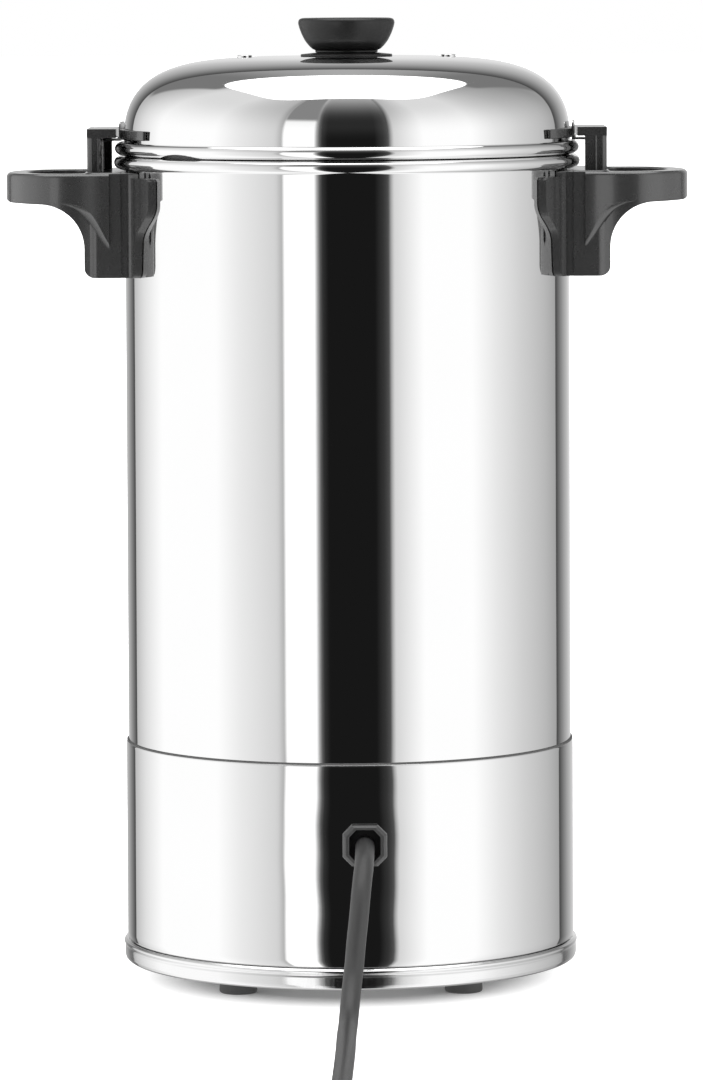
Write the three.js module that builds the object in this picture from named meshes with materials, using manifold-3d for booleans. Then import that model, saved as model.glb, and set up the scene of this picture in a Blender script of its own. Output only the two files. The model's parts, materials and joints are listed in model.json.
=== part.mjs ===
// A tall electric soup kettle: a mirror-polished vessel on a heated base, with a twist-locking lid.
// Millimetres, +Z up. Heights in this file are above the surface that the kettle stands on, and the
// whole group is lowered at the end so that the origin is the centre of the base pan's underside.
// The cord leaves towards -Y, the tap and the controls face +Y, and the handles point along X.
import * as THREE from "three";
import { mergeVertices } from "three/addons/utils/BufferGeometryUtils.js";
import Module from "manifold-3d";

const wasm = await Module();
wasm.setup();

// ---- driving dimensions -------------------------------------------------------------------------
const SIDES = 40; // facets round the big turned pieces
const SMALL_SIDES = 12; // facets round pins, bores and screws
const GAP = 0.3; // between pieces that touch

const VESSEL_R = 100.5;
const VESSEL_WALL = 0.8;
const VESSEL_BOTTOM = 100;
const RIM_BEAD_Z = 370.9;
const RIM_BEAD_R = 102.4; // radius of the circle that the rolled bead's centre follows
const BEAD_R = 3;

const SKIRT_R = 101.5;
const SKIRT_WALL = 0.7;
const SKIRT_LOW = 18.9;
const SKIRT_TOP = 108.6;

const RING_R = 103;
const RING_INNER_R = 99.9;
const RING_LOW = 8.9;

const PAN_R = 99.5;
const PAN_LOW = 9.3;
const PAN_THICK = 1;
const PAN_TOP = PAN_LOW + PAN_THICK;

const FOOT_R = 8.5;
const FOOT_PEG_R = 3;
const FOOT_OFFSET = 50.5; // along X and along Y from the axis

const LID_R = 101;
const LID_WALL = 0.7;
const LID_TOP = 418.4;
const LID_SPRING = 379.85; // height where the lid's dome begins
const LID_BEAD_Z = 377.15;
const LID_BEAD_CENTRE_R = 102;
const VENT_X = 46;
const KNOB_TOP = 435.6;
const KNOB_LOW = 419.9;

const TAB_ANGLE = -4; // degrees, the lug's middle, a little towards the stop wall
const TAB_HALF_WIDTH = 9;
const TAB_REACH = 109.5;

const HANDLE_LOW = 320;
const HANDLE_TOP = 367.2;
const GRIP_REACH = 154;
const GRIP_LOW = 353;
const GRIP_TOP = 366.7;
const BLOCK_FACE = 117.7;
const HANDLE_BORE_R = VESSEL_R + GAP;
const SCREW_HEIGHTS = [330, 352];

const GLAND_X = 6.4;
const GLAND_Z = 73.2;
const CORD_D = 8.5;

const TAP_Z = 132; // height of the tap's shank
const TAP_Y = 130; // distance of the tap's barrel from the kettle's axis
const LEVER_Z = 168; // height of the lever's pivot
const DIAL_Z = 72;
const SWITCH_Z = 44;
const LAMP_Z = 96;
const PLATE_R = SKIRT_R + GAP;
const PLATE_THICK = 2;

const COIL_X = 48.25;
const COIL_Y = -445;
const COIL_MID_R = 51;
const COIL_LOW = 1.2;
const PLUG_START = 80; // where the cord enters the plug, along X
const PLUG_Y = -513;
const PLUG_Z = 19.3;

// ---- materials ----------------------------------------------------------------------------------
function material(color, roughness, metalness) {
  return new THREE.MeshStandardMaterial({ color, roughness, metalness });
}

const MIRROR_STEEL = material(0xdadada, 0.06, 1);
const PLAIN_STEEL = material(0xa8a8a8, 0.35, 1);
const ALUMINIUM = material(0xb9bbbd, 0.4, 1);
const BRASS = material(0xb8944c, 0.35, 1);
const BLACK_PLASTIC = material(0x1c1c1d, 0.3, 0);
const BLACK_RUBBER = material(0x2e2e2f, 0.7, 0);
const WHITE_CERAMIC = material(0xe8e4da, 0.6, 0);
const SILICONE = material(0xd9d6cf, 0.5, 0);
const RED_LENS = material(0xb01810, 0.15, 0);
const CORD_BLACK = material(0x333334, 0.55, 0);
const WIRE_BROWN = material(0x5a3418, 0.6, 0);
const WIRE_BLUE = material(0x1f4fa0, 0.6, 0);
const WIRE_GREEN = material(0x4c8a2a, 0.6, 0);

// ---- solids -------------------------------------------------------------------------------------
function solid(geometry) {
  const bare = geometry.clone();
  bare.deleteAttribute("normal");
  bare.deleteAttribute("uv");
  const merged = mergeVertices(bare, 1e-4);
  return new wasm.Manifold(
    new wasm.Mesh({
      numProp: 3,
      vertProperties: new Float32Array(merged.attributes.position.array),
      triVerts: new Uint32Array(merged.index.array),
    }),
  );
}

function join(...solids) {
  return solids.reduce((whole, next) => whole.add(next));
}

function cut(whole, ...tools) {
  return tools.reduce((left, tool) => left.subtract(tool), whole);
}

// Turns a closed outline of [radius, height] points about Z.
function turned(outline, sides = SIDES) {
  const area = outline.reduce((sum, [r, z], i) => {
    const [nextR, nextZ] = outline[(i + 1) % outline.length];
    return sum + r * nextZ - nextR * z;
  }, 0);
  const points = (area > 0 ? outline : [...outline].reverse()).map(([r, z]) => new THREE.Vector2(r, z));
  points.push(points[0].clone());
  return solid(new THREE.LatheGeometry(points, sides).rotateX(Math.PI / 2));
}

function extruded(shape, depth, curveSegments) {
  return new THREE.ExtrudeGeometry(shape, { depth, bevelEnabled: false, curveSegments });
}

// A plan outline in (x, y), from height low to height high.
function raised(shape, low, high, curveSegments = 8) {
  return solid(extruded(shape, high - low, curveSegments).translate(0, 0, low));
}

// An outline in (x, z), from y = from to y = to.
function acrossY(shape, from, to, curveSegments = 8) {
  return solid(extruded(shape, to - from, curveSegments).rotateX(Math.PI / 2).translate(0, to, 0));
}

// An outline in (y, z), from x = from to x = to.
function acrossX(shape, from, to, curveSegments = 8) {
  const turn = new THREE.Matrix4().makeBasis(
    new THREE.Vector3(0, 1, 0),
    new THREE.Vector3(0, 0, 1),
    new THREE.Vector3(1, 0, 0),
  );
  return solid(extruded(shape, to - from, curveSegments).applyMatrix4(turn).translate(from, 0, 0));
}

function polygon(points) {
  return new THREE.Shape(points.map(([a, b]) => new THREE.Vector2(a, b)));
}

// A rectangle with round corners, centred on (cx, cy).
function roundRect(cx, cy, halfWidth, halfHeight, radius) {
  const shape = new THREE.Shape();
  const [left, right, low, high] = [cx - halfWidth, cx + halfWidth, cy - halfHeight, cy + halfHeight];
  shape.moveTo(left + radius, low);
  shape.absarc(right - radius, low + radius, radius, -Math.PI / 2, 0);
  shape.absarc(right - radius, high - radius, radius, 0, Math.PI / 2);
  shape.absarc(left + radius, high - radius, radius, Math.PI / 2, Math.PI);
  shape.absarc(left + radius, low + radius, radius, Math.PI, 1.5 * Math.PI);
  return shape;
}

// The part of a ring between two radii, either side of +X.
function sector(innerR, outerR, halfAngle) {
  const shape = new THREE.Shape();
  shape.absarc(0, 0, outerR, -halfAngle, halfAngle, false);
  shape.absarc(0, 0, innerR, halfAngle, -halfAngle, true);
  return shape;
}

function box(x, y, z) {
  const size = [x, y, z].map(([low, high]) => high - low);
  const middle = [x, y, z].map(([low, high]) => (low + high) / 2);
  return solid(new THREE.BoxGeometry(...size).translate(...middle));
}

function rod(radius, low, high, sides = SMALL_SIDES) {
  return turned([[0, low], [radius, low], [radius, high], [0, high]], sides);
}

// A rod along +Y from y = from to y = to, through (x, z).
function rodY(radius, from, to, x, z, sides = SMALL_SIDES) {
  return rod(radius, from, to, sides).rotate([-90, 0, 0]).translate([x, 0, z]);
}

// A rod along +X from x = from to x = to, through (y, z).
function rodX(radius, from, to, y, z, sides = SMALL_SIDES) {
  return rod(radius, from, to, sides).rotate([0, 90, 0]).translate([0, y, z]);
}

function washer(innerR, outerR, low, high, sides = 24) {
  return turned([[innerR, low], [outerR, low], [outerR, high], [innerR, high]], sides);
}

// A six-sided nut round a plain hole.
function nut(holeR, outerR, low, high) {
  return cut(rod(outerR, low, high, 6), rod(holeR, low - 1, high + 1));
}

// Points on a circle in (radius, height), from one angle to another in degrees.
function arc(centreR, centreZ, radius, from, to, steps) {
  return Array.from({ length: steps + 1 }, (_, i) => {
    const angle = THREE.MathUtils.degToRad(from + ((to - from) * i) / steps);
    return [centreR + radius * Math.cos(angle), centreZ + radius * Math.sin(angle)];
  });
}

// A round tube of the given number of sides along a smooth curve through the points.
function tube(points, radius, sides, steps) {
  const path = new THREE.CatmullRomCurve3(points.map((p) => new THREE.Vector3(...p)));
  const corners = Array.from({ length: sides }, (_, i) => {
    const angle = (2 * Math.PI * i) / sides;
    return new THREE.Vector2(radius * Math.cos(angle), radius * Math.sin(angle));
  });
  return solid(
    new THREE.ExtrudeGeometry(new THREE.Shape(corners), { steps, bevelEnabled: false, extrudePath: path }),
  );
}

// ---- scene --------------------------------------------------------------------------------------
function add(group, name, shape, look) {
  const { vertProperties, triVerts } = shape.getMesh();
  const indexed = new THREE.BufferGeometry();
  indexed.setAttribute("position", new THREE.BufferAttribute(vertProperties, 3));
  indexed.setIndex(new THREE.BufferAttribute(triVerts, 1));
  const geometry = indexed.toNonIndexed();
  geometry.computeVertexNormals();
  const mesh = new THREE.Mesh(geometry, look);
  mesh.name = name;
  group.add(mesh);
  return mesh;
}

const group = new THREE.Group();
group.position.z = -PAN_LOW;

function subgroup() {
  const inner = new THREE.Group();
  group.add(inner);
  return inner;
}

// ---- vessel -------------------------------------------------------------------------------------
const INNER_R = VESSEL_R - VESSEL_WALL;
const TAP_HOLE_R = 7.4;
const SCREW_HOLE_R = 2.8;

function vessel() {
  const outerJoin = THREE.MathUtils.radToDeg(Math.acos((VESSEL_R - RIM_BEAD_R) / BEAD_R));
  const innerJoin = THREE.MathUtils.radToDeg(Math.acos((INNER_R - RIM_BEAD_R) / BEAD_R));
  const pot = turned([
    [0, VESSEL_BOTTOM],
    [VESSEL_R - 4, VESSEL_BOTTOM],
    [VESSEL_R - 1.2, VESSEL_BOTTOM + 1.2],
    [VESSEL_R, VESSEL_BOTTOM + 4],
    ...arc(RIM_BEAD_R, RIM_BEAD_Z, BEAD_R, -outerJoin, innerJoin, 7),
    [INNER_R, VESSEL_BOTTOM + 4.4],
    [INNER_R - 0.8, VESSEL_BOTTOM + 2],
    [INNER_R - 3.4, VESSEL_BOTTOM + VESSEL_WALL],
    [0, VESSEL_BOTTOM + VESSEL_WALL],
  ]);
  const tapHole = rodY(TAP_HOLE_R, 90, 110, 0, TAP_Z);
  const screwHoles = SCREW_HEIGHTS.map((z) => rodX(SCREW_HOLE_R, -110, 110, 0, z));
  return cut(pot, tapHole, ...screwHoles);
}

add(group, "vessel", vessel(), MIRROR_STEEL);

// ---- base ---------------------------------------------------------------------------------------
const SHAFT_HOLE_R = 4.5;
const SWITCH_HOLE = { halfWidth: 10.1, halfHeight: 8.1 };
const LAMP_HOLE_R = 4;
const GLAND_NECK_R = 6.8;

function controlHoles() {
  return [
    rodY(SHAFT_HOLE_R, 90, 110, 0, DIAL_Z),
    rodY(LAMP_HOLE_R, 90, 110, 0, LAMP_Z),
    box(
      [-SWITCH_HOLE.halfWidth, SWITCH_HOLE.halfWidth],
      [90, 110],
      [SWITCH_Z - SWITCH_HOLE.halfHeight, SWITCH_Z + SWITCH_HOLE.halfHeight],
    ),
  ];
}

function baseSkirt() {
  const shell = turned([
    [SKIRT_R - SKIRT_WALL, SKIRT_LOW],
    [SKIRT_R, SKIRT_LOW],
    [SKIRT_R, SKIRT_TOP],
    [SKIRT_R - SKIRT_WALL, SKIRT_TOP],
  ]);
  return cut(shell, rodY(GLAND_NECK_R + GAP, -110, -90, GLAND_X, GLAND_Z), ...controlHoles());
}

// The bright ring round the foot of the base, with a bead above a rolled lower edge and a lip
// that locates the skirt from inside.
function baseRing() {
  return turned([
    [RING_INNER_R, RING_LOW + 0.4],
    [101, RING_LOW],
    [102.2, RING_LOW + 1],
    [102.7, RING_LOW + 2.6],
    [102.7, 15],
    [102.3, 15.4],
    [RING_R, 16.2],
    [RING_R, 17.6],
    [102.2, 18.5],
    [100.5, 18.5],
    [100.5, 24],
    [RING_INNER_R, 24],
  ]);
}

function basePan() {
  const disc = turned([[0, PAN_LOW], [PAN_R, PAN_LOW], [PAN_R, PAN_TOP], [0, PAN_TOP]]);
  const footHoles = [-1, 1].flatMap((x) =>
    [-1, 1].map((y) =>
      rod(FOOT_PEG_R + GAP, 0, 20).translate([x * FOOT_OFFSET, y * FOOT_OFFSET, 0]),
    ),
  );
  const ventHalfWidth = 1.8;
  const vents = Array.from({ length: 12 }, (_, i) =>
    box([28, 46], [-ventHalfWidth, ventHalfWidth], [0, 20]).rotate([0, 0, i * 30]),
  );
  return cut(disc, ...footHoles, ...vents);
}

function foot() {
  return turned([
    [0, 0],
    [FOOT_R - 0.6, 0],
    [FOOT_R, 0.6],
    [FOOT_R - 0.5, PAN_LOW - GAP],
    [FOOT_PEG_R, PAN_LOW - GAP],
    [FOOT_PEG_R, PAN_TOP + GAP],
    [FOOT_PEG_R + 0.9, PAN_TOP + GAP],
    [FOOT_PEG_R - 0.6, PAN_TOP + 3],
    [0, PAN_TOP + 3],
  ], SMALL_SIDES);
}

add(group, "base_skirt", baseSkirt(), MIRROR_STEEL);
add(group, "base_ring", baseRing(), MIRROR_STEEL);
add(group, "base_pan", basePan(), PLAIN_STEEL);
[[-1, -1], [1, -1], [1, 1], [-1, 1]].forEach(([x, y], i) => {
  const placed = add(group, `foot_${i + 1}`, foot(), BLACK_RUBBER);
  placed.position.set(x * FOOT_OFFSET, y * FOOT_OFFSET, 0);
});

// ---- heater and wiring --------------------------------------------------------------------------
const PLATE_LOW = 94.7;
const ELEMENT_R = 3.5;
const ELEMENT_RING_R = 55;
const ELEMENT_Z = PLATE_LOW - 2 * GAP - ELEMENT_R;
const BAR_TOP = ELEMENT_Z - ELEMENT_R - GAP;
const BAR_LOW = BAR_TOP - 3;
const STUD_R = 3;

// A sheathed element bent nearly full circle under the plate, with both ends turned down.
function heaterElement() {
  const firstAngle = -73;
  const turns = Array.from({ length: 21 }, (_, i) => {
    const angle = THREE.MathUtils.degToRad(firstAngle + (326 * i) / 20);
    return [ELEMENT_RING_R * Math.cos(angle), ELEMENT_RING_R * Math.sin(angle), ELEMENT_Z];
  });
  const [startX, startY] = turns[0];
  const [endX, endY] = turns[turns.length - 1];
  return tube(
    [
      [startX - 8, startY - 1, ELEMENT_Z - 20],
      [startX - 8, startY - 1, ELEMENT_Z - 9],
      [startX - 5, startY - 0.6, ELEMENT_Z - 3],
      ...turns,
      [endX + 5, endY - 0.6, ELEMENT_Z - 3],
      [endX + 8, endY - 1, ELEMENT_Z - 9],
      [endX + 8, endY - 1, ELEMENT_Z - 20],
    ],
    ELEMENT_R,
    6,
    32,
  );
}

function wire(points) {
  return tube(points, 1.4, 6, 12);
}

const heating = subgroup();
add(heating, "heater_plate", cut(
  turned([[0, PLATE_LOW], [76, PLATE_LOW], [76, VESSEL_BOTTOM - GAP], [0, VESSEL_BOTTOM - GAP]]),
  rod(STUD_R + GAP, 90, 101),
), ALUMINIUM);
add(heating, "heater_element", heaterElement(), PLAIN_STEEL);
add(heating, "heater_clamp_bar", cut(
  box([-66, 66], [-8, 8], [BAR_LOW, BAR_TOP]),
  rod(STUD_R + GAP, 80, 90),
), PLAIN_STEEL);
add(heating, "heater_stud", rod(STUD_R, 72, VESSEL_BOTTOM - GAP), PLAIN_STEEL);
add(heating, "heater_nut", nut(STUD_R + GAP, 6, BAR_LOW - GAP - 5, BAR_LOW - GAP), PLAIN_STEEL);
add(heating, "thermal_cutout", join(
  rod(8, PLATE_LOW - GAP - 8, PLATE_LOW - GAP).translate([0, 27, 0]),
  box([-1, 1], [20, 34], [PLATE_LOW - 20, PLATE_LOW - GAP - 6]),
), WHITE_CERAMIC);
add(heating, "thermostat_body", box([-16, 16], [76, 96], [DIAL_Z - 14, DIAL_Z + 14]), WHITE_CERAMIC);
const BLOCK_TOP = PAN_TOP + GAP + 14;
add(heating, "terminal_block", box([-50, -20], [-38, -22], [PAN_TOP + GAP, BLOCK_TOP]), WHITE_CERAMIC);
const WIRE_START = BLOCK_TOP + 0.6;
const WIRE_END = ELEMENT_Z - 20.8;
add(heating, "wire_live", wire([
  [-45, -30, WIRE_START], [-45, -31, WIRE_START + 12], [-26, -50, 55], [-8.1, -53.6, WIRE_END - 8],
  [-8.1, -53.6, WIRE_END],
]), WIRE_BROWN);
add(heating, "wire_neutral", wire([
  [-35, -30, WIRE_START], [-35, -31, WIRE_START + 10], [-4, -44, 48], [8.1, -53.6, WIRE_END - 8],
  [8.1, -53.6, WIRE_END],
]), WIRE_BLUE);
add(heating, "wire_earth", wire([
  [-25, -30, WIRE_START], [-25, -29, WIRE_START + 9], [-25, -4, 42], [-24, 10, PAN_TOP + 12],
  [-24, 10, PAN_TOP + 0.6],
]), WIRE_GREEN);

// ---- controls on the front ----------------------------------------------------------------------
function controlPlate() {
  const shell = raised(sector(PLATE_R, PLATE_R + PLATE_THICK, Math.PI / 12), 20, 108, 6).rotate([0, 0, 90]);
  const outline = acrossY(roundRect(0, 68, 22, 39, 21.9), 90, 110, 6);
  return cut(shell.intersect(outline), ...controlHoles());
}

const PLATE_FRONT = PLATE_R + PLATE_THICK;
const DIAL_BACK = PLATE_FRONT + GAP;
const SWITCH_TILT = 7; // degrees either side of level
const SWITCH_AXIS_Y = 99.5;

function dialKnob() {
  const body = turned([
    [0, DIAL_BACK],
    [16.5, DIAL_BACK],
    [16.5, DIAL_BACK + 3],
    [14.2, DIAL_BACK + 4.2],
    [13, DIAL_BACK + 13],
    [12, DIAL_BACK + 14],
    [0, DIAL_BACK + 14],
  ], 24).rotate([-90, 0, 0]);
  const ridge = box([-1.6, 1.6], [DIAL_BACK + 12, DIAL_BACK + 15.6], [-12, 12]);
  const bore = rod(3.3, DIAL_BACK - 1, DIAL_BACK + 9.3).rotate([-90, 0, 0]);
  return cut(join(body, ridge), bore).translate([0, 0, DIAL_Z]);
}

function switchHousing() {
  const can = box([-9.8, 9.8], [84, DIAL_BACK + 0.5], [SWITCH_Z - 7.8, SWITCH_Z + 7.8]);
  const bezel = acrossY(roundRect(0, SWITCH_Z, 12.5, 9.5, 2.5), DIAL_BACK, DIAL_BACK + 1.8);
  const pocket = box([-8.6, 8.6], [96, 120], [SWITCH_Z - 6.7, SWITCH_Z + 6.7]);
  return cut(join(can, bezel), pocket);
}

// The rocker, drawn level, then laid over to its off side, which is where it rests.
function switchRocker() {
  const face = [[105.2, -5.2], [107.4, -5.2], [106.4, 0], [107.4, 5.2], [105.2, 5.2]];
  return acrossX(polygon([[97, -3], ...face, [97, 3]]), -8, 8)
    .translate([0, -SWITCH_AXIS_Y, 0])
    .rotate([-SWITCH_TILT, 0, 0])
    .translate([0, SWITCH_AXIS_Y, SWITCH_Z]);
}

function pilotLamp() {
  return turned([
    [0, 88],
    [3.6, 88],
    [3.6, DIAL_BACK],
    [4.8, DIAL_BACK],
    [4.6, DIAL_BACK + 1.4],
    [3.2, DIAL_BACK + 2.8],
    [0, DIAL_BACK + 3.3],
  ], 20).rotate([-90, 0, 0]).translate([0, 0, LAMP_Z]);
}

const controls = subgroup();
add(controls, "control_plate", controlPlate(), BLACK_PLASTIC);
add(controls, "dial_knob", dialKnob(), BLACK_PLASTIC);
add(controls, "thermostat_shaft", rodY(3, 96.3, DIAL_BACK + 9, 0, DIAL_Z), PLAIN_STEEL);
add(controls, "switch_housing", switchHousing(), BLACK_PLASTIC);
add(controls, "switch_rocker", switchRocker(), BLACK_PLASTIC);
add(controls, "pilot_lamp", pilotLamp(), RED_LENS);

// ---- tap ----------------------------------------------------------------------------------------
// Pieces round the barrel are drawn about their own upright axis, in a group that stands at the barrel.
const SHANK_R = 7;
const SHANK_BORE_R = 4.5;
const STEM_R = 2.5;
const SEAT_Z = 123;
const BARREL_TOP = 146;
const EAR_LOW = 158;

function tapBody() {
  const barrel = turned([
    [0, 110],
    [7.4, 110],
    [8, 111],
    [8.6, 116],
    [12, 121],
    [12, BARREL_TOP],
    [0, BARREL_TOP],
  ], 24);
  const shank = rodY(SHANK_R, 88 - TAP_Y, 0, 0, TAP_Z, 24);
  const flange = rodY(12, 103.1 - TAP_Y, 106 - TAP_Y, 0, TAP_Z, 24);
  const neck = rodY(8.4, 105 - TAP_Y, -6, 0, TAP_Z, 24);
  const chamber = rod(9, SEAT_Z, BARREL_TOP + 1, 24);
  const outlet = rod(5, 100, SEAT_Z + 1);
  const inlet = rodY(SHANK_BORE_R, 80 - TAP_Y, -4, 0, TAP_Z);
  return cut(join(barrel, shank, flange, neck), chamber, outlet, inlet);
}

// The cap that closes the barrel, guides the stem and carries the lever's pin between two ears.
function tapBonnet() {
  const cap = turned([
    [STEM_R + 0.5, BARREL_TOP + GAP],
    [13, BARREL_TOP + GAP],
    [13.4, BARREL_TOP + 2],
    [13.4, 153],
    [11.5, 156.5],
    [STEM_R + 0.5, EAR_LOW],
  ], 24);
  const earOutline = new THREE.Shape();
  earOutline.moveTo(-7, 154);
  earOutline.lineTo(7, 154);
  earOutline.lineTo(5.5, LEVER_Z);
  earOutline.absarc(0, LEVER_Z, 5.5, 0, Math.PI);
  const ears = [-1, 1].map((side) => acrossX(earOutline, side * 6.9 - 1.7, side * 6.9 + 1.7));
  const pinHole = rodX(2.35, -12, 12, 0, LEVER_Z);
  return cut(join(cap, ...ears), pinHole);
}

// A tall paddle that stands on a round hub.
function tapLever() {
  const hubHalf = 4.9;
  const hub = rodX(5.4, -hubHalf, hubHalf, 0, LEVER_Z, 20);
  const outline = new THREE.Shape();
  outline.moveTo(-4, LEVER_Z);
  outline.lineTo(4, LEVER_Z);
  outline.bezierCurveTo(4, LEVER_Z + 14, 9, LEVER_Z + 20, 9, LEVER_Z + 34);
  outline.absarc(0, LEVER_Z + 37, 9, 0, Math.PI);
  outline.bezierCurveTo(-9, LEVER_Z + 20, -4, LEVER_Z + 14, -4, LEVER_Z);
  const paddle = acrossY(outline, -3.2, 3.2);
  return cut(join(hub, paddle), rodX(2.35, -12, 12, 0, LEVER_Z));
}

function tapSeatCup() {
  return turned([
    [0, SEAT_Z + GAP],
    [7.4, SEAT_Z + GAP],
    [8.2, SEAT_Z + 5],
    [6, SEAT_Z + 5.8],
    [4, SEAT_Z + 5.8],
    [4, SEAT_Z + 3],
    [0, SEAT_Z + 3],
  ], 24);
}

function tapStem() {
  return turned([
    [0, SEAT_Z + 3.3],
    [3.6, SEAT_Z + 3.3],
    [3.6, 132],
    [5.6, 132],
    [5.6, 133.5],
    [STEM_R, 133.5],
    [STEM_R, LEVER_Z - 10.5],
    [0, LEVER_Z - 10.5],
  ], 16);
}

const tap = subgroup();
tap.position.y = TAP_Y;
add(tap, "tap_body", tapBody(), MIRROR_STEEL);
add(tap, "tap_bonnet", tapBonnet(), BLACK_PLASTIC);
add(tap, "tap_lever", tapLever(), BLACK_PLASTIC);
add(tap, "tap_pin", rodX(2, -8.6, 8.6, 0, LEVER_Z), PLAIN_STEEL);
add(tap, "tap_stem", tapStem(), PLAIN_STEEL);
add(tap, "tap_seat_cup", tapSeatCup(), SILICONE);
add(tap, "tap_spring", washer(3.4, 6.2, 133.8, 145.9), PLAIN_STEEL);

// Pieces on the shank, drawn about its axis.
function onShank(shape) {
  return shape.rotate([-90, 0, 0]).translate([0, 0, TAP_Z]);
}

add(group, "tap_washer_outer", onShank(washer(SHANK_R + GAP, 11, 100.8, 102.8)), SILICONE);
add(group, "tap_washer_inner", onShank(washer(SHANK_R + GAP, 11, 96.2, 98.7)), SILICONE);
add(group, "tap_nut", onShank(nut(SHANK_R + 2 * GAP, 12.5, 90.4, 95.9)), BRASS);

// ---- handles ------------------------------------------------------------------------------------
const HOOK_TOP = 386.3;
const HOOK_ROOF_LOW = 382.3;
const HOOK_HALF_WIDTH = 21;
const POST_INNER = 110.2;
const POST_OUTER = 116.9;
const FACE_CORNER_R = 4.5; // the block's lower outer edge
const UNDERSIDE_R = 20; // the concave curve from the block to the grip
const LOOP_START = 105.7; // where the loop's sides stand proud of the block
const LOOP_WIDEST = 125; // distance from the axis where the loop is widest
const LOOP_HALF_WIDTH = 40;
const BLOCK_HALF_WIDTH = 37.5;
const LOOP_CORE_HALF_WIDTH = 36.5;

// The side view of the block and grip: a deep block, a concave underside and a level grip.
function handleProfile() {
  const shape = new THREE.Shape();
  shape.moveTo(80, HANDLE_LOW);
  shape.absarc(BLOCK_FACE - FACE_CORNER_R, HANDLE_LOW + FACE_CORNER_R, FACE_CORNER_R, -Math.PI / 2, 0);
  shape.lineTo(BLOCK_FACE, GRIP_LOW - UNDERSIDE_R);
  shape.absarc(BLOCK_FACE + UNDERSIDE_R, GRIP_LOW - UNDERSIDE_R, UNDERSIDE_R, Math.PI, Math.PI / 2, true);
  shape.absarc(GRIP_REACH - 3, GRIP_LOW + 3, 3, -Math.PI / 2, 0);
  shape.absarc(GRIP_REACH - 3, GRIP_TOP - 3, 3, 0, Math.PI / 2);
  shape.lineTo(BLOCK_FACE, GRIP_TOP);
  shape.lineTo(BLOCK_FACE, HANDLE_TOP);
  shape.lineTo(80, HANDLE_TOP);
  return shape;
}

// The side view of the loop's outer skin, whose lower edge rises sooner than the core's and ends
// in a point on the block's side.
function loopProfile() {
  const shape = new THREE.Shape();
  shape.moveTo(LOOP_START, 333);
  shape.bezierCurveTo(108, 342, 110.5, 352.6, LOOP_WIDEST, 353.6);
  shape.lineTo(GRIP_REACH + 1, 354.4);
  shape.lineTo(GRIP_REACH + 1, GRIP_TOP);
  shape.lineTo(LOOP_START, GRIP_TOP);
  return shape;
}

// Seen from above: the block's slanted sides and round outer corners.
function blockPlan() {
  const corner = 6;
  const shape = new THREE.Shape();
  shape.moveTo(85, -BLOCK_HALF_WIDTH - 2);
  shape.lineTo(98, -BLOCK_HALF_WIDTH);
  shape.absarc(BLOCK_FACE - corner, corner - BLOCK_HALF_WIDTH, corner, -Math.PI / 2, 0);
  shape.absarc(BLOCK_FACE - corner, BLOCK_HALF_WIDTH - corner, corner, 0, Math.PI / 2);
  shape.lineTo(98, BLOCK_HALF_WIDTH);
  shape.lineTo(85, BLOCK_HALF_WIDTH + 2);
  return shape;
}

// Seen from above: the oval loop that the fingers go through.
function loopPlan(halfWidth) {
  const shape = new THREE.Shape();
  shape.moveTo(LOOP_START, 1 - halfWidth);
  shape.quadraticCurveTo(115, -halfWidth, LOOP_WIDEST, -halfWidth);
  shape.bezierCurveTo(143, -halfWidth, GRIP_REACH, 14 - halfWidth, GRIP_REACH, 0);
  shape.bezierCurveTo(GRIP_REACH, halfWidth - 14, 143, halfWidth, LOOP_WIDEST, halfWidth);
  shape.quadraticCurveTo(115, halfWidth, LOOP_START, halfWidth - 1);
  return shape;
}

function fingerHole() {
  const [start, end, halfWidth] = [118.5, 144.8, 31];
  const shape = new THREE.Shape();
  shape.moveTo(start, 6 - halfWidth);
  shape.quadraticCurveTo(start, -halfWidth, LOOP_WIDEST, -halfWidth);
  shape.bezierCurveTo(137, -halfWidth, end, 12 - halfWidth, end, 0);
  shape.bezierCurveTo(end, halfWidth - 12, 137, halfWidth, LOOP_WIDEST, halfWidth);
  shape.quadraticCurveTo(start, halfWidth, start, halfWidth - 6);
  return shape;
}

// The thin wings that hug the vessel, wide above and narrower below.
function handleWings() {
  const shape = new THREE.Shape();
  shape.moveTo(-38, HANDLE_LOW);
  shape.lineTo(38, HANDLE_LOW);
  shape.quadraticCurveTo(41.5, HANDLE_LOW, 41.8, HANDLE_LOW + 4);
  shape.lineTo(42.6, 336);
  shape.bezierCurveTo(44, 343, 54.2, 346, 54.4, 353);
  shape.lineTo(54.4, 363.7);
  shape.lineTo(53.4, 364.7);
  shape.lineTo(-53.4, 364.7);
  shape.lineTo(-54.4, 363.7);
  shape.lineTo(-54.4, 353);
  shape.bezierCurveTo(-54.2, 346, -44, 343, -42.6, 336);
  shape.lineTo(-41.8, HANDLE_LOW + 4);
  shape.quadraticCurveTo(-41.5, HANDLE_LOW, -38, HANDLE_LOW);
  const shell = raised(sector(HANDLE_BORE_R, HANDLE_BORE_R + 3, Math.PI / 5), HANDLE_LOW, HANDLE_TOP, 10);
  return shell.intersect(acrossX(shape, 70, 120, 4));
}

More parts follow.
